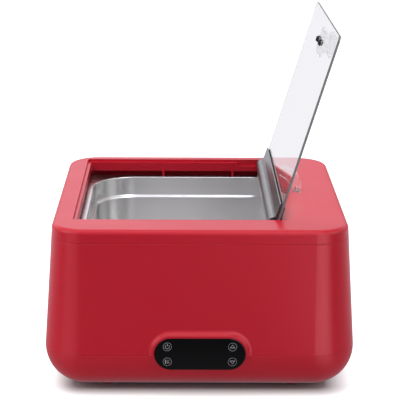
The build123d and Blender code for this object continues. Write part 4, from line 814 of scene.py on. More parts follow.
RED = Finish("satin red lacquer", "red_lacquer", (0.53, 0.0045, 0.02), (0.5, 0.004, 0.018), roughness=0.33,
             spread=0.02, mottle_scale=9.0, grain_scale=2600.0, grain_height=0.00001, wear=0.08,
             worn=(0.6, 0.05, 0.07), dust=0.0, edge_radius=0.0006, ior=1.43)
STEEL = Finish("satin stainless steel", "stainless", (0.745, 0.748, 0.738), (0.715, 0.718, 0.708),
               roughness=0.28, metallic=1.0, spread=0.015, mottle_scale=3.0, grain_scale=1600.0,
               grain_stretch=(0.04, 1.0, 0.6), grain_height=0.000001, grain_tone=0.1, wear=0.0,
               edge_radius=0.0003, dust=0.0)
ANODISED = Finish("satin anodised aluminium", "anodised_aluminium", (0.235, 0.24, 0.228),
                  (0.21, 0.215, 0.203), roughness=0.32, metallic=1.0, grain_scale=3000.0,
                  grain_stretch=(1.0, 0.02, 1.0), grain_height=0.000006, grain_tone=0.2,
                  worn=(0.8, 0.8, 0.8), anisotropy=0.4)
ROLLED = Finish("rolled aluminium", "plate_aluminium", (0.72, 0.72, 0.71), (0.6, 0.6, 0.59), roughness=0.4,
                metallic=1.0, grain_scale=1800.0, grain_stretch=(0.03, 1.0, 1.0), grain_height=0.00001,
                grain_tone=0.3)
SHEATH = Finish("annealed sheath", "element_sheath", (0.24, 0.22, 0.2), (0.14, 0.11, 0.09), metallic=1.0,
                mottle_scale=60.0, mottle=0.8)
ZINC = Finish("bright zinc", "zinc_steel", (0.56, 0.56, 0.54), (0.45, 0.46, 0.47), roughness=0.34,
              metallic=1.0, mottle_scale=120.0, mottle=0.7, worn=(0.75, 0.75, 0.74))
GLASS = ClearFinish("clear toughened glass", "clear_glass", (0.885, 0.89, 0.882), (0.872, 0.88, 0.872),
                    roughness=0.0, spread=0.02, mottle_scale=16.0, ior=1.65)
# its faces seen from inside the glass are painted pale, as painted light
GLASS_EDGE = GroundEdgeFinish("ground glass edge", "clear_glass", (0.19, 0.2, 0.195), (0.15, 0.165, 0.155),
                              roughness=0.3, spread=0.08, mottle_scale=260.0, edge_radius=0.0001, wear=0.0)
ACRYLIC = ClearFinish("clear acrylic", "clear_plastic", (0.97, 0.95, 0.97), (0.94, 0.92, 0.94),
                      roughness=0.12, mottle_scale=90.0, ior=1.75, clearness=0.9)
SILVER = Finish("satin silver coating", "silver_plastic", (0.67, 0.67, 0.663), (0.62, 0.62, 0.613),
                roughness=0.36, metallic=0.25, spread=0.04, mottle_scale=60.0, grain_height=0.000008,
                wear=0.2, worn=(0.8, 0.8, 0.79))
STRIP = Finish("matt black strip", "black_strip", (0.02, 0.02, 0.021), (0.03, 0.03, 0.031), roughness=0.55,
               grain_scale=1200.0, grain_stretch=(1.0, 0.05, 1.0), grain_height=0.00001, wear=0.3,
               worn=(0.12, 0.12, 0.12))
FOOT = Finish("moulded dark red foot", "red_lacquer", (0.16, 0.004, 0.008), (0.13, 0.003, 0.007),
              grain_scale=1400.0, wear=0.2, worn=(0.3, 0.03, 0.04))
RUBBER = Finish("black silicone", "black_rubber", (0.014, 0.014, 0.014), (0.02, 0.02, 0.02), roughness=0.8,
                spread=0.08, mottle_scale=80.0, wear=0.2, worn=(0.1, 0.1, 0.1), dust=0.02)
BLACK_STEEL = Finish("black oxide steel", "black_steel", (0.012, 0.012, 0.012), (0.02, 0.02, 0.019),
                     roughness=0.45, metallic=0.2, mottle_scale=200.0, wear=0.2, ior=1.35,
                     worn=(0.25, 0.24, 0.23))
ACETAL = Finish("natural acetal", "bearing_plastic", (0.78, 0.77, 0.72), (0.7, 0.69, 0.64), roughness=0.42,
                worn=(0.9, 0.9, 0.86))
LENS = Finish("gloss black lens", "black_lens", (0.0015, 0.0015, 0.0018), (0.0022, 0.0022, 0.0025),
              roughness=0.1, spread=0.03, mottle_scale=18.0, grain_height=0.000001, wear=0.3,
              worn=(0.06, 0.06, 0.06), dust=0.0, ior=1.38)
MOULDING = Finish("matt black moulding", "dark_moulding", (0.025, 0.025, 0.027), (0.04, 0.04, 0.042),
                  roughness=0.55, grain_scale=1400.0, grain_height=0.00003, worn=(0.12, 0.12, 0.12))
BOARD = BoardFinish("green solder resist", "green_board", (0.015, 0.13, 0.05), (0.01, 0.1, 0.04),
                    roughness=0.3, worn=(0.45, 0.4, 0.2))
WINDING = BandedFinish("taped winding", "transformer_body", (0.55, 0.42, 0.04), (0.45, 0.33, 0.03),
                       roughness=0.45, band=(0.28, 0.2, 0.02), bands_per_metre=160.0)
TERMINAL = Finish("green moulding", "connector_green", (0.03, 0.3, 0.09), (0.025, 0.24, 0.07),
                  roughness=0.45, grain_scale=1400.0)
NYLON = Finish("white nylon", "connector_white", (0.72, 0.7, 0.64), (0.64, 0.61, 0.54))
SLEEVE = Finish("shrunk sleeve", "capacitor_sleeve", (0.02, 0.03, 0.1), (0.015, 0.022, 0.07),
                roughness=0.25, coat=0.4, worn=(0.5, 0.5, 0.5))
CERAMIC = Finish("white ceramic", "ceramic", (0.74, 0.72, 0.65), (0.64, 0.6, 0.52), roughness=0.6,
                 mottle_scale=220.0, grain_height=0.00004)
WIRE = BandedFinish("braided wire sleeve", "wire_sleeve", (0.5, 0.09, 0.03), (0.42, 0.07, 0.025),
                    roughness=0.6, band=(0.36, 0.06, 0.02), bands_per_metre=700.0, along=(0.58, 0.58, 0.58))
RIBBON = BandedFinish("flat cable", "ribbon", (0.42, 0.42, 0.42), (0.36, 0.36, 0.36), band=(0.2, 0.2, 0.2),
                      bands_per_metre=780.0, along=(1.0, 0.0, 0.0))
PRINT = Finish("light grey print", "black_lens", (0.55, 0.57, 0.58), (0.45, 0.47, 0.48), roughness=0.4,
               mottle_scale=900.0, edge_radius=0.00005, wear=0.0, dust=0.0)

NODES_BY_FINISH: dict[Finish, str] = {
    RED: "base_shell middle_shell top_cover",
    STEEL: "heated_well serving_pan hinge_trough",
    ANODISED: "lid_profile",
    ROLLED: "heater_plate",
    SHEATH: "heating_element element_clips",
    ZINC: "heat_shield shield_studs shield_screws trough_screws stop_screw board_screws foot_screws "
          "shell_screws hinge_pins touch_springs",
    GLASS: "lid_glass",
    ACRYLIC: "lid_stop",
    SILVER: "lid_handle",
    STRIP: "outer_clamp profile_end_caps",
    RUBBER: "inner_gasket handle_washers lead_grommets",
    FOOT: "feet",
    BLACK_STEEL: "clamp_screws handle_screws inlet_screws",
    ACETAL: "hinge_bushes",
    LENS: "control_lens",
    MOULDING: "display_module relay mains_inlet thermostat",
    BOARD: "power_board touch_board",
    WINDING: "transformer",
    TERMINAL: "terminal_block",
    NYLON: "signal_headers",
    SLEEVE: "capacitors",
    CERAMIC: "thermal_cutout temperature_sensor",
    WIRE: "heater_leads mains_leads sensor_leads",
    RIBBON: "ribbon_cable",
}


class Workshop:
    """Dresses the carried-over nodes and hands in the new pieces."""

    @staticmethod
    def dress_nodes() -> None:
        """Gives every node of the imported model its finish."""
        finishes = {name: finish for finish, names in NODES_BY_FINISH.items() for name in names.split()}
        for name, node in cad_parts.items():
            material = finishes[name].material()
            if not node.material_slots:
                node.data.materials.append(material)
            for slot in node.material_slots:
                slot.material = material
            LOG.info("%s: %s", name, material.name)

    @staticmethod
    def hand_in(piece: Piece, body: Body, finishes: Sequence[Finish], *nodes: str) -> None:
        """Gives a new piece its finishes, its body and the nodes that it stands for.

        Args:
            piece: The modelled piece, with its place in its mesh.
            body: The body that it rides on.
            finishes: Its finishes, in the order of its material indices.
            nodes: The nodes that it replaces.
        """
        marks = [face.material_index for face in piece.data.polygons]
        piece.data.materials.clear()
        for finish in finishes:
            piece.data.materials.append(finish.material())
        for face, mark in zip(piece.data.polygons, marks):
            face.material_index = min(mark, len(finishes) - 1)
        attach(piece, body.value)
        if nodes:
            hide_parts(*nodes)
        LOG.info("%s: %d faces on the %s", piece.name, len(piece.data.polygons), body.value)


# --- The glass lid ---------------------------------------------------------------------------------------


@dataclass
class GlassLid:
    """The pane, its strips, its grip and its screws, modelled flat and then leant back on the hinge.

    The lid's own X runs to the back of the dish, its Y up the glass and its Z out of it. A head, a shank
    and a washer are a radius and a length, a groove is a border and a depth, the dome is a share of the
    head's height, and the recess is the length and the width of its bars in radii of the head. The grip's
    steps are how far each section is out of the glass and how wide it is, in millimetres.
    """

    hinge: Point = (0.094, 0.0, 0.211)
    lean: float = 16.9
    middle: float = 0.01625
    pane_width: float = 0.3264
    pane_height: Pair = (0.005, 0.2529)
    pane_inner: float = 0.0025
    pane_outer: float = 0.0057
    pane_corner: float = 0.007
    pane_ease: float = 0.0009
    face_tilt: float = 0.35  # how far a face of the pane looks along its normal; less is its edge
    hole_radius: float = 0.003
    bore_low: float = -0.01
    bore_length: float = 0.03
    strip_height: Pair = (0.006, 0.0245)
    strip_groove: Pair = (0.0022, 0.0002)
    strip_ease: float = 0.0003
    seal_inner: float = 0.0012
    clamp_outer: float = 0.0071
    clamp_height: float = 0.015
    clamp_spacing: float = 0.126
    clamp_hole: float = 0.0019
    clamp_head: Pair = (0.0032, 0.0008)
    clamp_shank: Pair = (0.0016, 0.0066)
    grip_height: float = 0.220
    grip_length: float = 0.056
    grip_ease: float = 0.0008
    screw_spacing: float = 0.032
    screw_head: Pair = (0.0038, 0.0026)
    screw_shank: Pair = (0.002, 0.0115)
    head_dome: float = 0.55
    head_recess: Pair = (1.1, 0.22)
    washer: Pair = (0.0047, 0.0008)
    washer_play: float = 1.1  # its bore, in radii of the screw's shank
    washer_bore_length: float = 0.02
    washer_ease: float = 0.0002
    grip_steps: tuple[Pair, ...] = (
        (5.7, 34.0), (6.6, 35.8), (7.7, 35.6), (8.7, 33.4), (9.7, 28.4), (10.8, 22.8), (12.1, 18.0),
        (13.5, 15.2), (15.0, 15.2), (16.3, 18.0), (17.5, 22.6), (18.4, 26.8), (19.2, 29.2), (20.2, 30.0),
        (21.5, 29.4), (22.7, 26.6))

    def matrix(self) -> Matrix:
        """Works out the lid's place and lean.

        Returns:
            Both as one matrix.
        """
        tilt = radians(self.lean)
        up = Vector((sin(tilt), 0.0, cos(tilt)))
        out = Vector((cos(tilt), 0.0, -sin(tilt)))
        turn = Matrix((Vector((0.0, 1.0, 0.0)), up, out)).transposed().to_4x4()
        return Matrix.Translation(Vector(self.hinge)) @ turn

    def screw_places(self) -> list[float]:
        """The grip screws' places along the lid's X."""
        return [self.middle - self.screw_spacing / 2, self.middle + self.screw_spacing / 2]

    def clamp_places(self) -> list[float]:
        """The clamp screws' places along the lid's X."""
        return [self.middle + step * self.clamp_spacing for step in (-1, 0, 1)]

    def plate(self, name: str, height: Pair, inner: float, outer: float) -> Piece:
        """Adds a plate as wide as the pane, between two heights and two depths."""
        size = (self.pane_width, height[1] - height[0], outer - inner)
        return Bench.block(name, size, (self.middle, sum(height) / 2, (inner + outer) / 2))

    def drill(self, piece: Piece, places: Iterable[float], height: float, radius: float) -> None:
        """Drills a row of holes straight through a piece."""
        for x in places:
            Bench.bore(piece, radius, self.bore_length, (x, height, self.bore_low))

    def pane(self) -> Piece:
        """Cuts the pane, rounds its free corners, drills it and eases its edges.

        Returns:
            The pane, with its ground edges in a second finish.
        """
        pane = self.plate("glass_pane", self.pane_height, self.pane_inner, self.pane_outer)
        top = self.pane_height[1] - TINY
        Bench.round_edges(pane, self.pane_corner, 8, lambda at, way: at.y > top and abs(way.z) > ALIGNED)
        self.drill(pane, self.screw_places(), self.grip_height, self.hole_radius)
        self.drill(pane, self.clamp_places(), self.clamp_height, self.clamp_hole)
        Bench.ease(pane, self.pane_ease, sharp=60.0, shade=30.0)
        for face in pane.data.polygons:
            face.material_index = 0 if abs(face.normal.z) > self.face_tilt else 1
        return pane

    def strip(self, name: str, inner: float, outer: float) -> Piece:
        """Models a long strip along the lid's lower edge, with a shallow groove in both of its faces.

        Args:
            name: The piece's name.
            inner: Its inner face, out of the hinge's plane.
            outer: Its outer face.

        Returns:
            The strip.
        """
        strip = self.plate(name, self.strip_height, inner, outer)
        Bench.sink_sides(strip, (0.0, 0.0, 1.0), *self.strip_groove)
        self.drill(strip, self.clamp_places(), self.clamp_height, self.clamp_hole)
        Bench.ease(strip, self.strip_ease, shade=35.0)
        return strip

    def grip(self) -> Piece:
        """Draws the waisted grip out of its foot, step by step.

        Returns:
            The grip.
        """
        half = self.grip_length / 2
        sections = [(out * MM, self.grip_height - width * MM / 2, self.grip_height + width * MM / 2)
                    for out, width in self.grip_steps]
        grip = Bench.draw("grip", True, (self.middle - half, self.middle + half), sections)
        Bench.ease(grip, self.grip_ease, 3, 40.0)
        return grip

    def screw(self, name: str, head: Pair, shank: Pair, seat: float) -> Piece:
        """Models one domed, cross-recessed screw with its head down.

        Args:
            name: The piece's name.
            head: The head's radius and height.
            shank: The shank's radius and length.
            seat: How far below the origin the head seats.

        Returns:
            The screw at the lid's origin.
        """
        radius, height = head
        low = -seat - height
        cap = Bench.disc(name, radius, height, (0.0, 0.0, low), 40)
        Bench.round_edges(cap, height * self.head_dome, 5, lambda at, way: at.z < low + TINY)
        long, short = (share * radius for share in self.head_recess)
        for size in ((long, short, height), (short, long, height)):
            Bench.cut(cap, Bench.block("recess", size, (0.0, 0.0, low)))
        screw = Bench.join([cap, Bench.disc("shank", *shank, (0.0, 0.0, -seat), 24)], name)
        Bench.smooth(screw, 35.0)
        return screw

    def soft_washer(self) -> Piece:
        """Models the soft washer between a grip screw and the glass.

        Returns:
            The washer at the lid's origin.
        """
        radius, thick = self.washer
        washer = Bench.disc("grip_washer", radius, thick, (0.0, 0.0, -thick))
        bore = self.screw_shank[0] * self.washer_play
        Bench.bore(washer, bore, self.washer_bore_length, (0.0, 0.0, self.bore_low))
        Bench.ease(washer, self.washer_ease)
        return washer

    def build(self) -> None:
        """Models the lid's pieces and hangs them on the hinge."""
        lid = self.matrix()
        over = Matrix.Rotation(pi, 4, "X")
        inside = [lid @ Matrix.Translation((x, self.grip_height, self.pane_inner))
                  for x in self.screw_places()]
        outside = [lid @ (Matrix.Translation((x, self.clamp_height, self.clamp_outer)) @ over)
                   for x in self.clamp_places()]
        pane = Bench.place(self.pane(), lid)
        seal = Bench.place(self.strip("inner_seal", self.seal_inner, self.pane_inner), lid)
        clamp = Bench.place(self.strip("outer_clamp_strip", self.pane_outer, self.clamp_outer), lid)
        grip = Bench.place(self.grip(), lid)
        grip_screw = self.screw("grip_screw", self.screw_head, self.screw_shank, self.washer[1])
        grip_screws = Bench.repeat(grip_screw, "grip_screws", inside)
        washers = Bench.repeat(self.soft_washer(), "grip_washers", inside)
        clamp_screw = self.screw("clamp_screw", self.clamp_head, self.clamp_shank, 0.0)
        clamp_screws = Bench.repeat(clamp_screw, "clamp_strip_screws", outside)
        pieces = {
            "lid_glass": (pane, (GLASS, GLASS_EDGE)),
            "inner_gasket": (seal, (RUBBER,)),
            "outer_clamp": (clamp, (STRIP,)),
            "lid_handle": (grip, (SILVER,)),
            "handle_screws": (grip_screws, (BLACK_STEEL,)),
            "handle_washers": (washers, (RUBBER,)),
            "clamp_screws": (clamp_screws, (BLACK_STEEL,)),
        }
        for node, (piece, finishes) in pieces.items():
            Workshop.hand_in(piece, Body.LID, finishes, node)


# --- The lid stop and the feet ---------------------------------------------------------------------------


@dataclass
class LidStop:
    """The clear horn that the open lid leans on, hollowed on both sides like a moulding.

    The hollow is a border and a depth. The steps are each section's height and its two ends along X, in
    millimetres.
    """

    middle_y: float = -0.002
    width: float = 0.014
    hollow: Pair = (0.0022, 0.005)
    ease: float = 0.0004
    steps: tuple[Point, ...] = (
        (217.0, 127.2, 137.8), (220.0, 126.6, 138.4), (223.0, 125.7, 138.8), (226.0, 124.4, 138.8),
        (229.0, 122.7, 138.5), (232.0, 120.4, 137.9), (235.0, 117.4, 136.9), (237.0, 114.8, 136.0),
        (239.0, 111.4, 134.9), (240.5, 109.9, 133.9), (242.0, 110.1, 132.8), (244.0, 110.7, 131.0),
        (246.0, 111.3, 128.8), (248.0, 112.0, 126.0), (249.3, 112.8, 123.4), (250.6, 114.6, 120.2))

    def build(self) -> None:
        """Draws the horn, hollows its sides and stands it on the cover."""
        half = self.width / 2
        sections = [(z * MM, left * MM, right * MM) for z, left, right in self.steps]
        horn = Bench.draw("lid_stop_horn", False, (self.middle_y - half, self.middle_y + half), sections)
        Bench.sink_sides(horn, (0.0, 1.0, 0.0), *self.hollow)
        Bench.ease(horn, self.ease)
        Workshop.hand_in(horn, Body.COVER, (ACRYLIC,), "lid_stop")


@dataclass
class Feet:
    """Four round feet, tapered by some degrees and recessed for their screws."""

    spread_x: float = 0.1195
    spread_y: float = 0.151
    radius: float = 0.014
    height: float = 0.0045
    taper: float = 8.0
    recess_radius: float = 0.0035
    recess_depth: float = 0.00225
    bore_radius: float = 0.0018
    bore_low: float = -0.005
    bore_length: float = 0.02
    ease: float = 0.0005

    def foot(self) -> Piece:
        """Models one foot.

        Returns:
            The foot, standing at the origin.
        """
        foot = Bench.disc("foot", self.radius, self.height, sides=56)
        Bench.pick(foot, "FACE", lambda at, way: way.z < -ALIGNED)
        share = 1.0 - self.height * sin(radians(self.taper)) / self.radius
        bpy.ops.transform.resize(value=(share, share, 1.0), center_override=ORIGIN)
        Bench.done()
        Bench.bore(foot, self.recess_radius, 2 * self.recess_depth, (0.0, 0.0, -self.recess_depth))
        Bench.bore(foot, self.bore_radius, self.bore_length, (0.0, 0.0, self.bore_low), 24)
        Bench.ease(foot, self.ease, 3)
        return foot

    def build(self) -> None:
        """Puts a foot under each corner."""
        corners = [Matrix.Translation((x, y, 0.0))
                   for x in (-self.spread_x, self.spread_x) for y in (-self.spread_y, self.spread_y)]
        feet = Bench.repeat(self.foot(), "moulded_feet", corners)
        Workshop.hand_in(feet, Body.BASE, (FOOT,), "feet")


# --- The control panel -----------------------------------------------------------------------------------


class Symbol(Enum):
    """The generic symbols on the four touch spots."""

    POWER = "power"
    MODE = "mode"
    UP = "up"
    DOWN = "down"


@dataclass
class ControlPanel:
    """The black lens with its four printed touch spots.

    Widths that end in `_lines` are in widths of the printed line.
    """

    front: float = -0.21298
    height: float = 0.0595
    length: float = 0.115
    tall: float = 0.0416
    thick: float = 0.0024
    corner_share: float = 0.497
    rim: float = 0.0006
    spot_x: float = 0.041
    spot_z: float = 0.010
    spot_radius: float = 0.0054
    line: float = 0.00026
    proud: float = 0.00003
    arc_radius: float = 0.0029
    arc_top: float = 0.0019
    arc_lines: float = 1.6
    stroke_lines: float = 2.4
    stroke_height: float = 0.0024
    stroke_z: float = 0.0021
    post_lines: float = 3.2
    post_height: float = 0.0050
    post_x: float = -0.0023
    row_length: float = 0.0036
    row_lines: float = 1.1
    row_x: float = 0.0007
    row_spacing: float = 0.0013
    arrow_radius: float = 0.0038
    arrow_lines: float = 1.8
    arrow_flatness: float = 0.82

    def matrix(self) -> Matrix:
        """The lens's place, with its Z towards the front and its Y up."""
        upright = Matrix.Rotation(pi / 2, 4, "X")
        return Matrix.Translation((0.0, self.front + self.proud, self.height)) @ upright

    def band(self, name: str, radius: float, sides: int, lines: float = 1.0, start: float = 0.0) -> Piece:
        """Models a flat ring or polygon outline.

        Args:
            name: The piece's name.
            radius: Its outer radius.
            sides: How many sides it has.
            lines: Its width in lines.
            start: How far it is turned, in degrees.

        Returns:
            The outline, flat at the origin.
        """
        ring = Bench.add(name, bpy.ops.mesh.primitive_circle_add, vertices=sides, radius=radius,
                         fill_type="NOTHING")
        Bench.pick(ring, "EDGE", lambda at, way: True)
        inner = (radius - lines * self.line / cos(pi / sides)) / radius
        bpy.ops.mesh.extrude_edges_move()
        bpy.ops.transform.resize(value=(inner, inner, 1.0))
        Bench.done()
        ring.rotation_euler = (0.0, 0.0, radians(start))
        Bench.settle(ring)
        return ring

    def power(self) -> list[Piece]:
        """Models an open ring with a stroke in its gap.

        Returns:
            The symbol's parts.
        """
        arc = self.band("arc", self.arc_radius, 40, self.arc_lines)
        Bench.pick(arc, "FACE", lambda at, way: at.y > self.arc_top)
        bpy.ops.mesh.delete(type="FACE")
        Bench.done()
        return [arc, Bench.sheet("stroke", self.stroke_lines * self.line, self.stroke_height,
                                 (0.0, self.stroke_z, 0.0))]

    def mode(self) -> list[Piece]:
        """Models a post with four rows beside it.

        Returns:
            The symbol's parts.
        """
        post = Bench.sheet("post", self.post_lines * self.line, self.post_height, (self.post_x, 0.0, 0.0))
        rows = [Bench.sheet("row", self.row_length, self.row_lines * self.line,
                            (self.row_x, step * self.row_spacing, 0.0)) for step in (-1.5, -0.5, 0.5, 1.5)]
        return [post, *rows]

    def arrow(self, turn: float) -> list[Piece]:
        """Models an arrowhead.

        Args:
            turn: How far it is turned, in degrees.

        Returns:
            The symbol's only part.
        """
        arrow = self.band("arrow", self.arrow_radius, 3, self.arrow_lines, turn)
        arrow.scale = (1.0, self.arrow_flatness, 1.0)
        Bench.settle(arrow)
        return [arrow]

    def spot(self, symbol: Symbol) -> Piece:
        """Models one touch spot: a ring with its symbol inside.

        Args:
            symbol: Which symbol it carries.

        Returns:
            The spot, flat at the origin.
        """
        name = f"spot_{symbol.value}"
        ring = self.band(name, self.spot_radius, 48)
        if symbol is Symbol.POWER:
            parts = self.power()
        elif symbol is Symbol.MODE:
            parts = self.mode()
        else:
            parts = self.arrow(0.0 if symbol is Symbol.UP else 180.0)
        return Bench.join([ring, *parts], name)

    def lens(self) -> Piece:
        """Models the lens with its rounded corners and eased edge.

        Returns:
            The lens, with its front on the plane z = 0.
        """
        lens = Bench.block("touch_lens", (self.length, self.tall, self.thick), (0.0, 0.0, -self.thick / 2))
        Bench.round_edges(lens, self.tall * self.corner_share, 18, lambda at, way: abs(way.z) > ALIGNED)
        Bench.round_edges(lens, self.rim, 3, lambda at, way: at.z > -TINY)
        Bench.smooth(lens)
        return lens

    def build(self) -> None:
        """Models the lens and prints its spots."""
        matrix = self.matrix()
        Workshop.hand_in(Bench.place(self.lens(), matrix), Body.BASE, (LENS,), "control_lens")
        sides = {Symbol.POWER: (-1, 1), Symbol.MODE: (-1, -1), Symbol.UP: (1, 1), Symbol.DOWN: (1, -1)}
        for symbol, (across, up) in sides.items():
            place = Matrix.Translation((across * self.spot_x, up * self.spot_z, self.proud / 2))
            Workshop.hand_in(Bench.place(self.spot(symbol), matrix @ place), Body.BASE, (PRINT,))


# --- The studio ------------------------------------------------------------------------------------------


@dataclass(frozen=True)
class Lamp:
    """A soft lamp: its name, place, size, power, and whether gloss shows it."""

    name: str
    place: Point
    size: Pair
    power: float
    mirrored: bool = True
    aim: Point = (0.0, 0.0, 0.15)

    def build(self) -> None:
        """Hangs the lamp in the studio."""
        light = bpy.data.lights.new(self.name, "AREA")
        light.shape = "RECTANGLE"
        light.size, light.size_y = self.size
        light.energy = self.power
        lamp = bpy.data.objects.new(self.name, light)
        lamp.location = self.place
        way = Vector(self.aim) - Vector(self.place)
        lamp.rotation_euler = way.to_track_quat("-Z", "Y").to_euler()
        lamp.visible_glossy = self.mirrored
        bpy.context.scene.collection.objects.link(lamp)


@dataclass
class Studio:
    """A pale floor without an end, soft lamps and the camera.

    What shines sees a white room behind the dish and a dark one in front of it, as in a tabletop studio.

    Args:
        floor_size: The floor's side.
        floor_tone: The floor's grey, which takes the shadow.
        painted_shadow_reach: The distances from the dish between which the floor's painted shadow fades to
            white to the eye.
        dish_core: Half the sides of the block that those distances are measured from.
        room_tint: The colour that gloss sees.
        room_tones: The room's tones in front and behind.
        wall_turn: The directions along Y between which the wall's tone changes.
        floor_turn: The places along Y between which the mirrored floor's tone changes.
        room_light: The level at which the room lights what isn't glossy.
        ceiling_at: The directions along Z between which the ceiling comes in.
        ceiling: The ceiling's tone.
        glare_at: The directions along Z between which the wall gets its bright band.
        glare: The wall's strength below and in that band.
        fade_at: The directions along Z between which that band fades.
        fade: Its strength before and after.
        lean_at: The directions along X between which the wall's strength drops.
        lean: Its strength to the left and to the right.
        strip_right: The slopes between which the right-hand strip shines, and its level.
        strip_left: The same for the left-hand strip.
        strip_blur: How much farther a strip's edge reaches.
        strip_start: How far in front of the dish the strips begin.
        strip_core: How far out of the middle the floor's strips begin.
        strip_clear: The distances from the dish between which the floor's strips come in.
        camera_place: The camera's place.
        camera_pitch: Its pitch in degrees.
        camera_yaw: Its yaw in radians.
        camera_roll: Its roll in radians.
        camera_lens: Its focal length in millimetres.
        camera_reach: How far it sees.
        lamps: The soft lamps.
    """

    floor_size: float = 40.0
    floor_tone: float = 0.6
    # painted shadow: within this reach of the dish the floor's white glow is faded out
    painted_shadow_reach: Pair = (0.012, 0.055)
    dish_core: Point = (0.15, 0.165, 0.0)
    room_tint: Colour = (0.99, 0.975, 1.06)
    room_tones: Pair = (0.04, 1.0)
    wall_turn: Pair = (-0.5, 0.5)
    floor_turn: Pair = (-0.5, 0.4)
    room_light: float = 0.5
    ceiling_at: Pair = (0.15, 0.6)
    ceiling: float = 0.75
    glare_at: Pair = (0.26, 0.32)
    glare: Pair = (0.5, 2.3)
    fade_at: Pair = (0.36, 0.5)
    fade: Pair = (1.0, 0.45)
    lean_at: Pair = (-0.1, 0.1)
    lean: Pair = (1.15, 0.8)
    strip_right: Point = (0.1, 0.75, 3.2)
    strip_left: Point = (0.35, 1.6, 1.0)
    strip_blur: float = 1.6
    strip_start: float = 0.02
    strip_core: float = 0.15
    strip_clear: Pair = (0.05, 0.3)
    camera_place: Point = (-0.0225, -2.014, 0.743)
    camera_pitch: float = 75.0
    camera_yaw: float = -0.0118
    camera_roll: float = 0.0069
    camera_lens: float = 137.3
    camera_reach: float = 200.0
    lamps: tuple[Lamp, ...] = (
        Lamp("overhead softbox", (-0.55, -0.1, 2.3), (1.9, 1.9), 37.0, mirrored=False),
        Lamp("left softbox", (-2.4, -0.9, 1.3), (1.4, 1.8), 18.0),
        Lamp("right softbox", (2.4, -0.9, 1.3), (1.4, 1.8), 14.0),
    )

    @staticmethod
    def eye_path(desk: Desk, rays: Mapping[str, Socket], kind: str) -> Socket:
        """Picks the rays of one kind that come from the eye with no matt surface on their way."""
        return desk.times(rays[kind], desk.maths("LESS_THAN", rays["Diffuse Depth"], UNBOUNCED))

    def clear_of_dish(self, desk: Desk, spot: Socket) -> Socket:
        """Measures how far a spot of the floor is from the dish's core, on a rounded outline."""
        past = desk.vector("SUBTRACT", desk.vector("ABSOLUTE", spot), self.dish_core)
        return desk.vector("LENGTH", desk.vector("MAXIMUM", past, ORIGIN))

    def strips(self, desk: Desk, across: Socket, ahead: Socket, core: float = 0.0) -> Socket:
        """Sets a tall soft strip beside the camera on each side, as gloss on the corners sees them.

        Args:
            desk: The tree.
            across: The X coordinate or direction.
            ahead: The Y coordinate or direction, negative towards the camera.
            core: How far out of the middle the strips begin.

        Returns:
            The strips' level.
        """
        depth = desk.maths("MAXIMUM", desk.maths("SUBTRACT", -core, ahead), self.strip_start)
        levels = []
        for side, (low, high, level) in ((1.0, self.strip_right), (-1.0, self.strip_left)):
            slope = desk.maths("DIVIDE", desk.maths("SUBTRACT", desk.times(across, side), core), depth)
            rise = desk.span(slope, (low, low * self.strip_blur), (0.0, level))
            fall = desk.span(slope, (high, high * self.strip_blur), FALLING)
            levels.append(desk.times(rise, fall))
        in_front = desk.maths("LESS_THAN", ahead, -core - self.strip_start)
        return desk.times(desk.maths("ADD", *levels), in_front)

    def floor(self) -> None:
        """Lays the floor, white to the eye and still able to take a shadow.

        Near the dish the floor's glow fades out, so a painted shadow lies round the dish on top of the real
        one.
        """
        floor = Bench.sheet("studio_floor", self.floor_size, self.floor_size)
        material = bpy.data.materials.new("pale floor")
        desk = Desk.emptied(material)
        rays = desk.node("LightPath").outputs
        spot = desk.node("TexCoord").outputs["Object"]
        axes = desk.axes(spot)
        away = self.clear_of_dish(desk, spot)
        matt = desk.node("BsdfDiffuse", {"Color": (self.floor_tone,) * 3})
        # painted shadow: the glow that makes the floor white fades out near the dish, so the floor there
        # shows darker whatever the lamps do
        white = desk.times(desk.span(away, self.painted_shadow_reach), rays["Is Camera Ray"])
        glow = desk.node("Emission", {"Strength": white})
        lit = desk.node("AddShader", {0: matt.outputs["BSDF"], 1: glow.outputs["Emission"]})
        through = self.eye_path(desk, rays, "Is Transmission Ray")
        strips = self.strips(desk, axes["X"], axes["Y"], self.strip_core)
        near = desk.times(strips, desk.span(away, self.strip_clear))
        seen = desk.maths("ADD", desk.span(axes["Y"], self.floor_turn, self.room_tones), near)
        rest = desk.times(seen, desk.maths("SUBTRACT", 1.0, through))
        mirrored = desk.node("Emission", {"Strength": desk.maths("ADD", rest, through),
                                          "Color": desk.blend(through, self.room_tint, WHITE)})
        shiny = desk.maths("MAXIMUM", self.eye_path(desk, rays, "Is Glossy Ray"), through)
        desk.surface(desk.mix_shaders(shiny, lit.outputs["Shader"], mirrored.outputs["Emission"]))
        floor.data.materials.append(material)

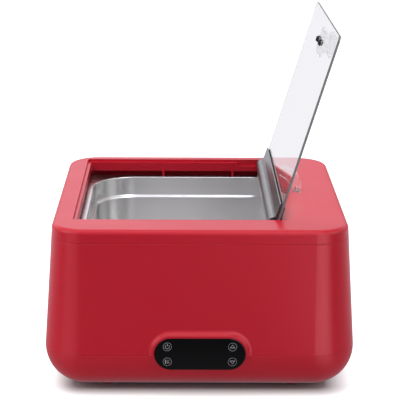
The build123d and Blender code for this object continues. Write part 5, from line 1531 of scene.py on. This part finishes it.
    def sky(self) -> None:
        """Makes the room: white to the eye, and a soft gradient to gloss and glass."""
        world = bpy.data.worlds.new("studio room")
        desk = Desk.emptied(world)
        axes = desk.axes(desk.node("TexCoord").outputs["Generated"])
        wall = desk.span(axes["Y"], self.wall_turn, self.room_tones)
        band = desk.times(desk.span(axes["Z"], self.glare_at, self.glare),
                          desk.span(axes["Z"], self.fade_at, self.fade))
        slant = desk.times(desk.span(axes["X"], self.lean_at, self.lean), band)
        ceiling = desk.span(axes["Z"], self.ceiling_at, (0.0, self.ceiling))
        room_tone = desk.maths("MAXIMUM", desk.times(wall, slant), ceiling)
        tone = desk.maths("ADD", room_tone, self.strips(desk, axes["X"], axes["Y"]))
        rays = desk.node("LightPath").outputs
        change = desk.times(self.eye_path(desk, rays, "Is Glossy Ray"),
                            desk.maths("SUBTRACT", tone, self.room_light))
        through = self.eye_path(desk, rays, "Is Transmission Ray")
        plain = desk.maths("MAXIMUM", rays["Is Camera Ray"], through)
        level = desk.maths("MAXIMUM", desk.maths("ADD", self.room_light, change), plain)
        colour = desk.blend(plain, self.room_tint, WHITE)
        room = desk.node("Background", {"Color": colour, "Strength": level})
        desk.surface(room.outputs["Background"], "OutputWorld")
        bpy.context.scene.world = world

    def camera(self) -> None:
        """Sets the camera up as the photograph's."""
        eye = bpy.data.cameras.new("studio camera")
        eye.lens = self.camera_lens
        eye.clip_end = self.camera_reach
        camera = bpy.data.objects.new("studio camera", eye)
        yaw = Matrix.Rotation(self.camera_yaw, 4, "Z")
        pitch = Matrix.Rotation(radians(self.camera_pitch), 4, "X")
        roll = Matrix.Rotation(self.camera_roll, 4, "Z")
        camera.matrix_world = Matrix.Translation(self.camera_place) @ yaw @ pitch @ roll
        bpy.context.scene.collection.objects.link(camera)
        bpy.context.scene.camera = camera

    def build(self) -> None:
        """Builds the whole studio."""
        bpy.context.scene.view_settings.view_transform = "Standard"
        self.floor()
        self.sky()
        for lamp in self.lamps:
            lamp.build()
        self.camera()
        LOG.info("studio: %d lamps", len(self.lamps))


def main() -> None:
    """Builds everything in order."""
    logging.basicConfig(level=logging.INFO, format="%(name)s %(message)s", stream=sys.stdout)
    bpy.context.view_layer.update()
    Workshop.dress_nodes()
    GlassLid().build()
    LidStop().build()
    Feet().build()
    ControlPanel().build()
    Studio().build()


if __name__ == "__main__":
    main()
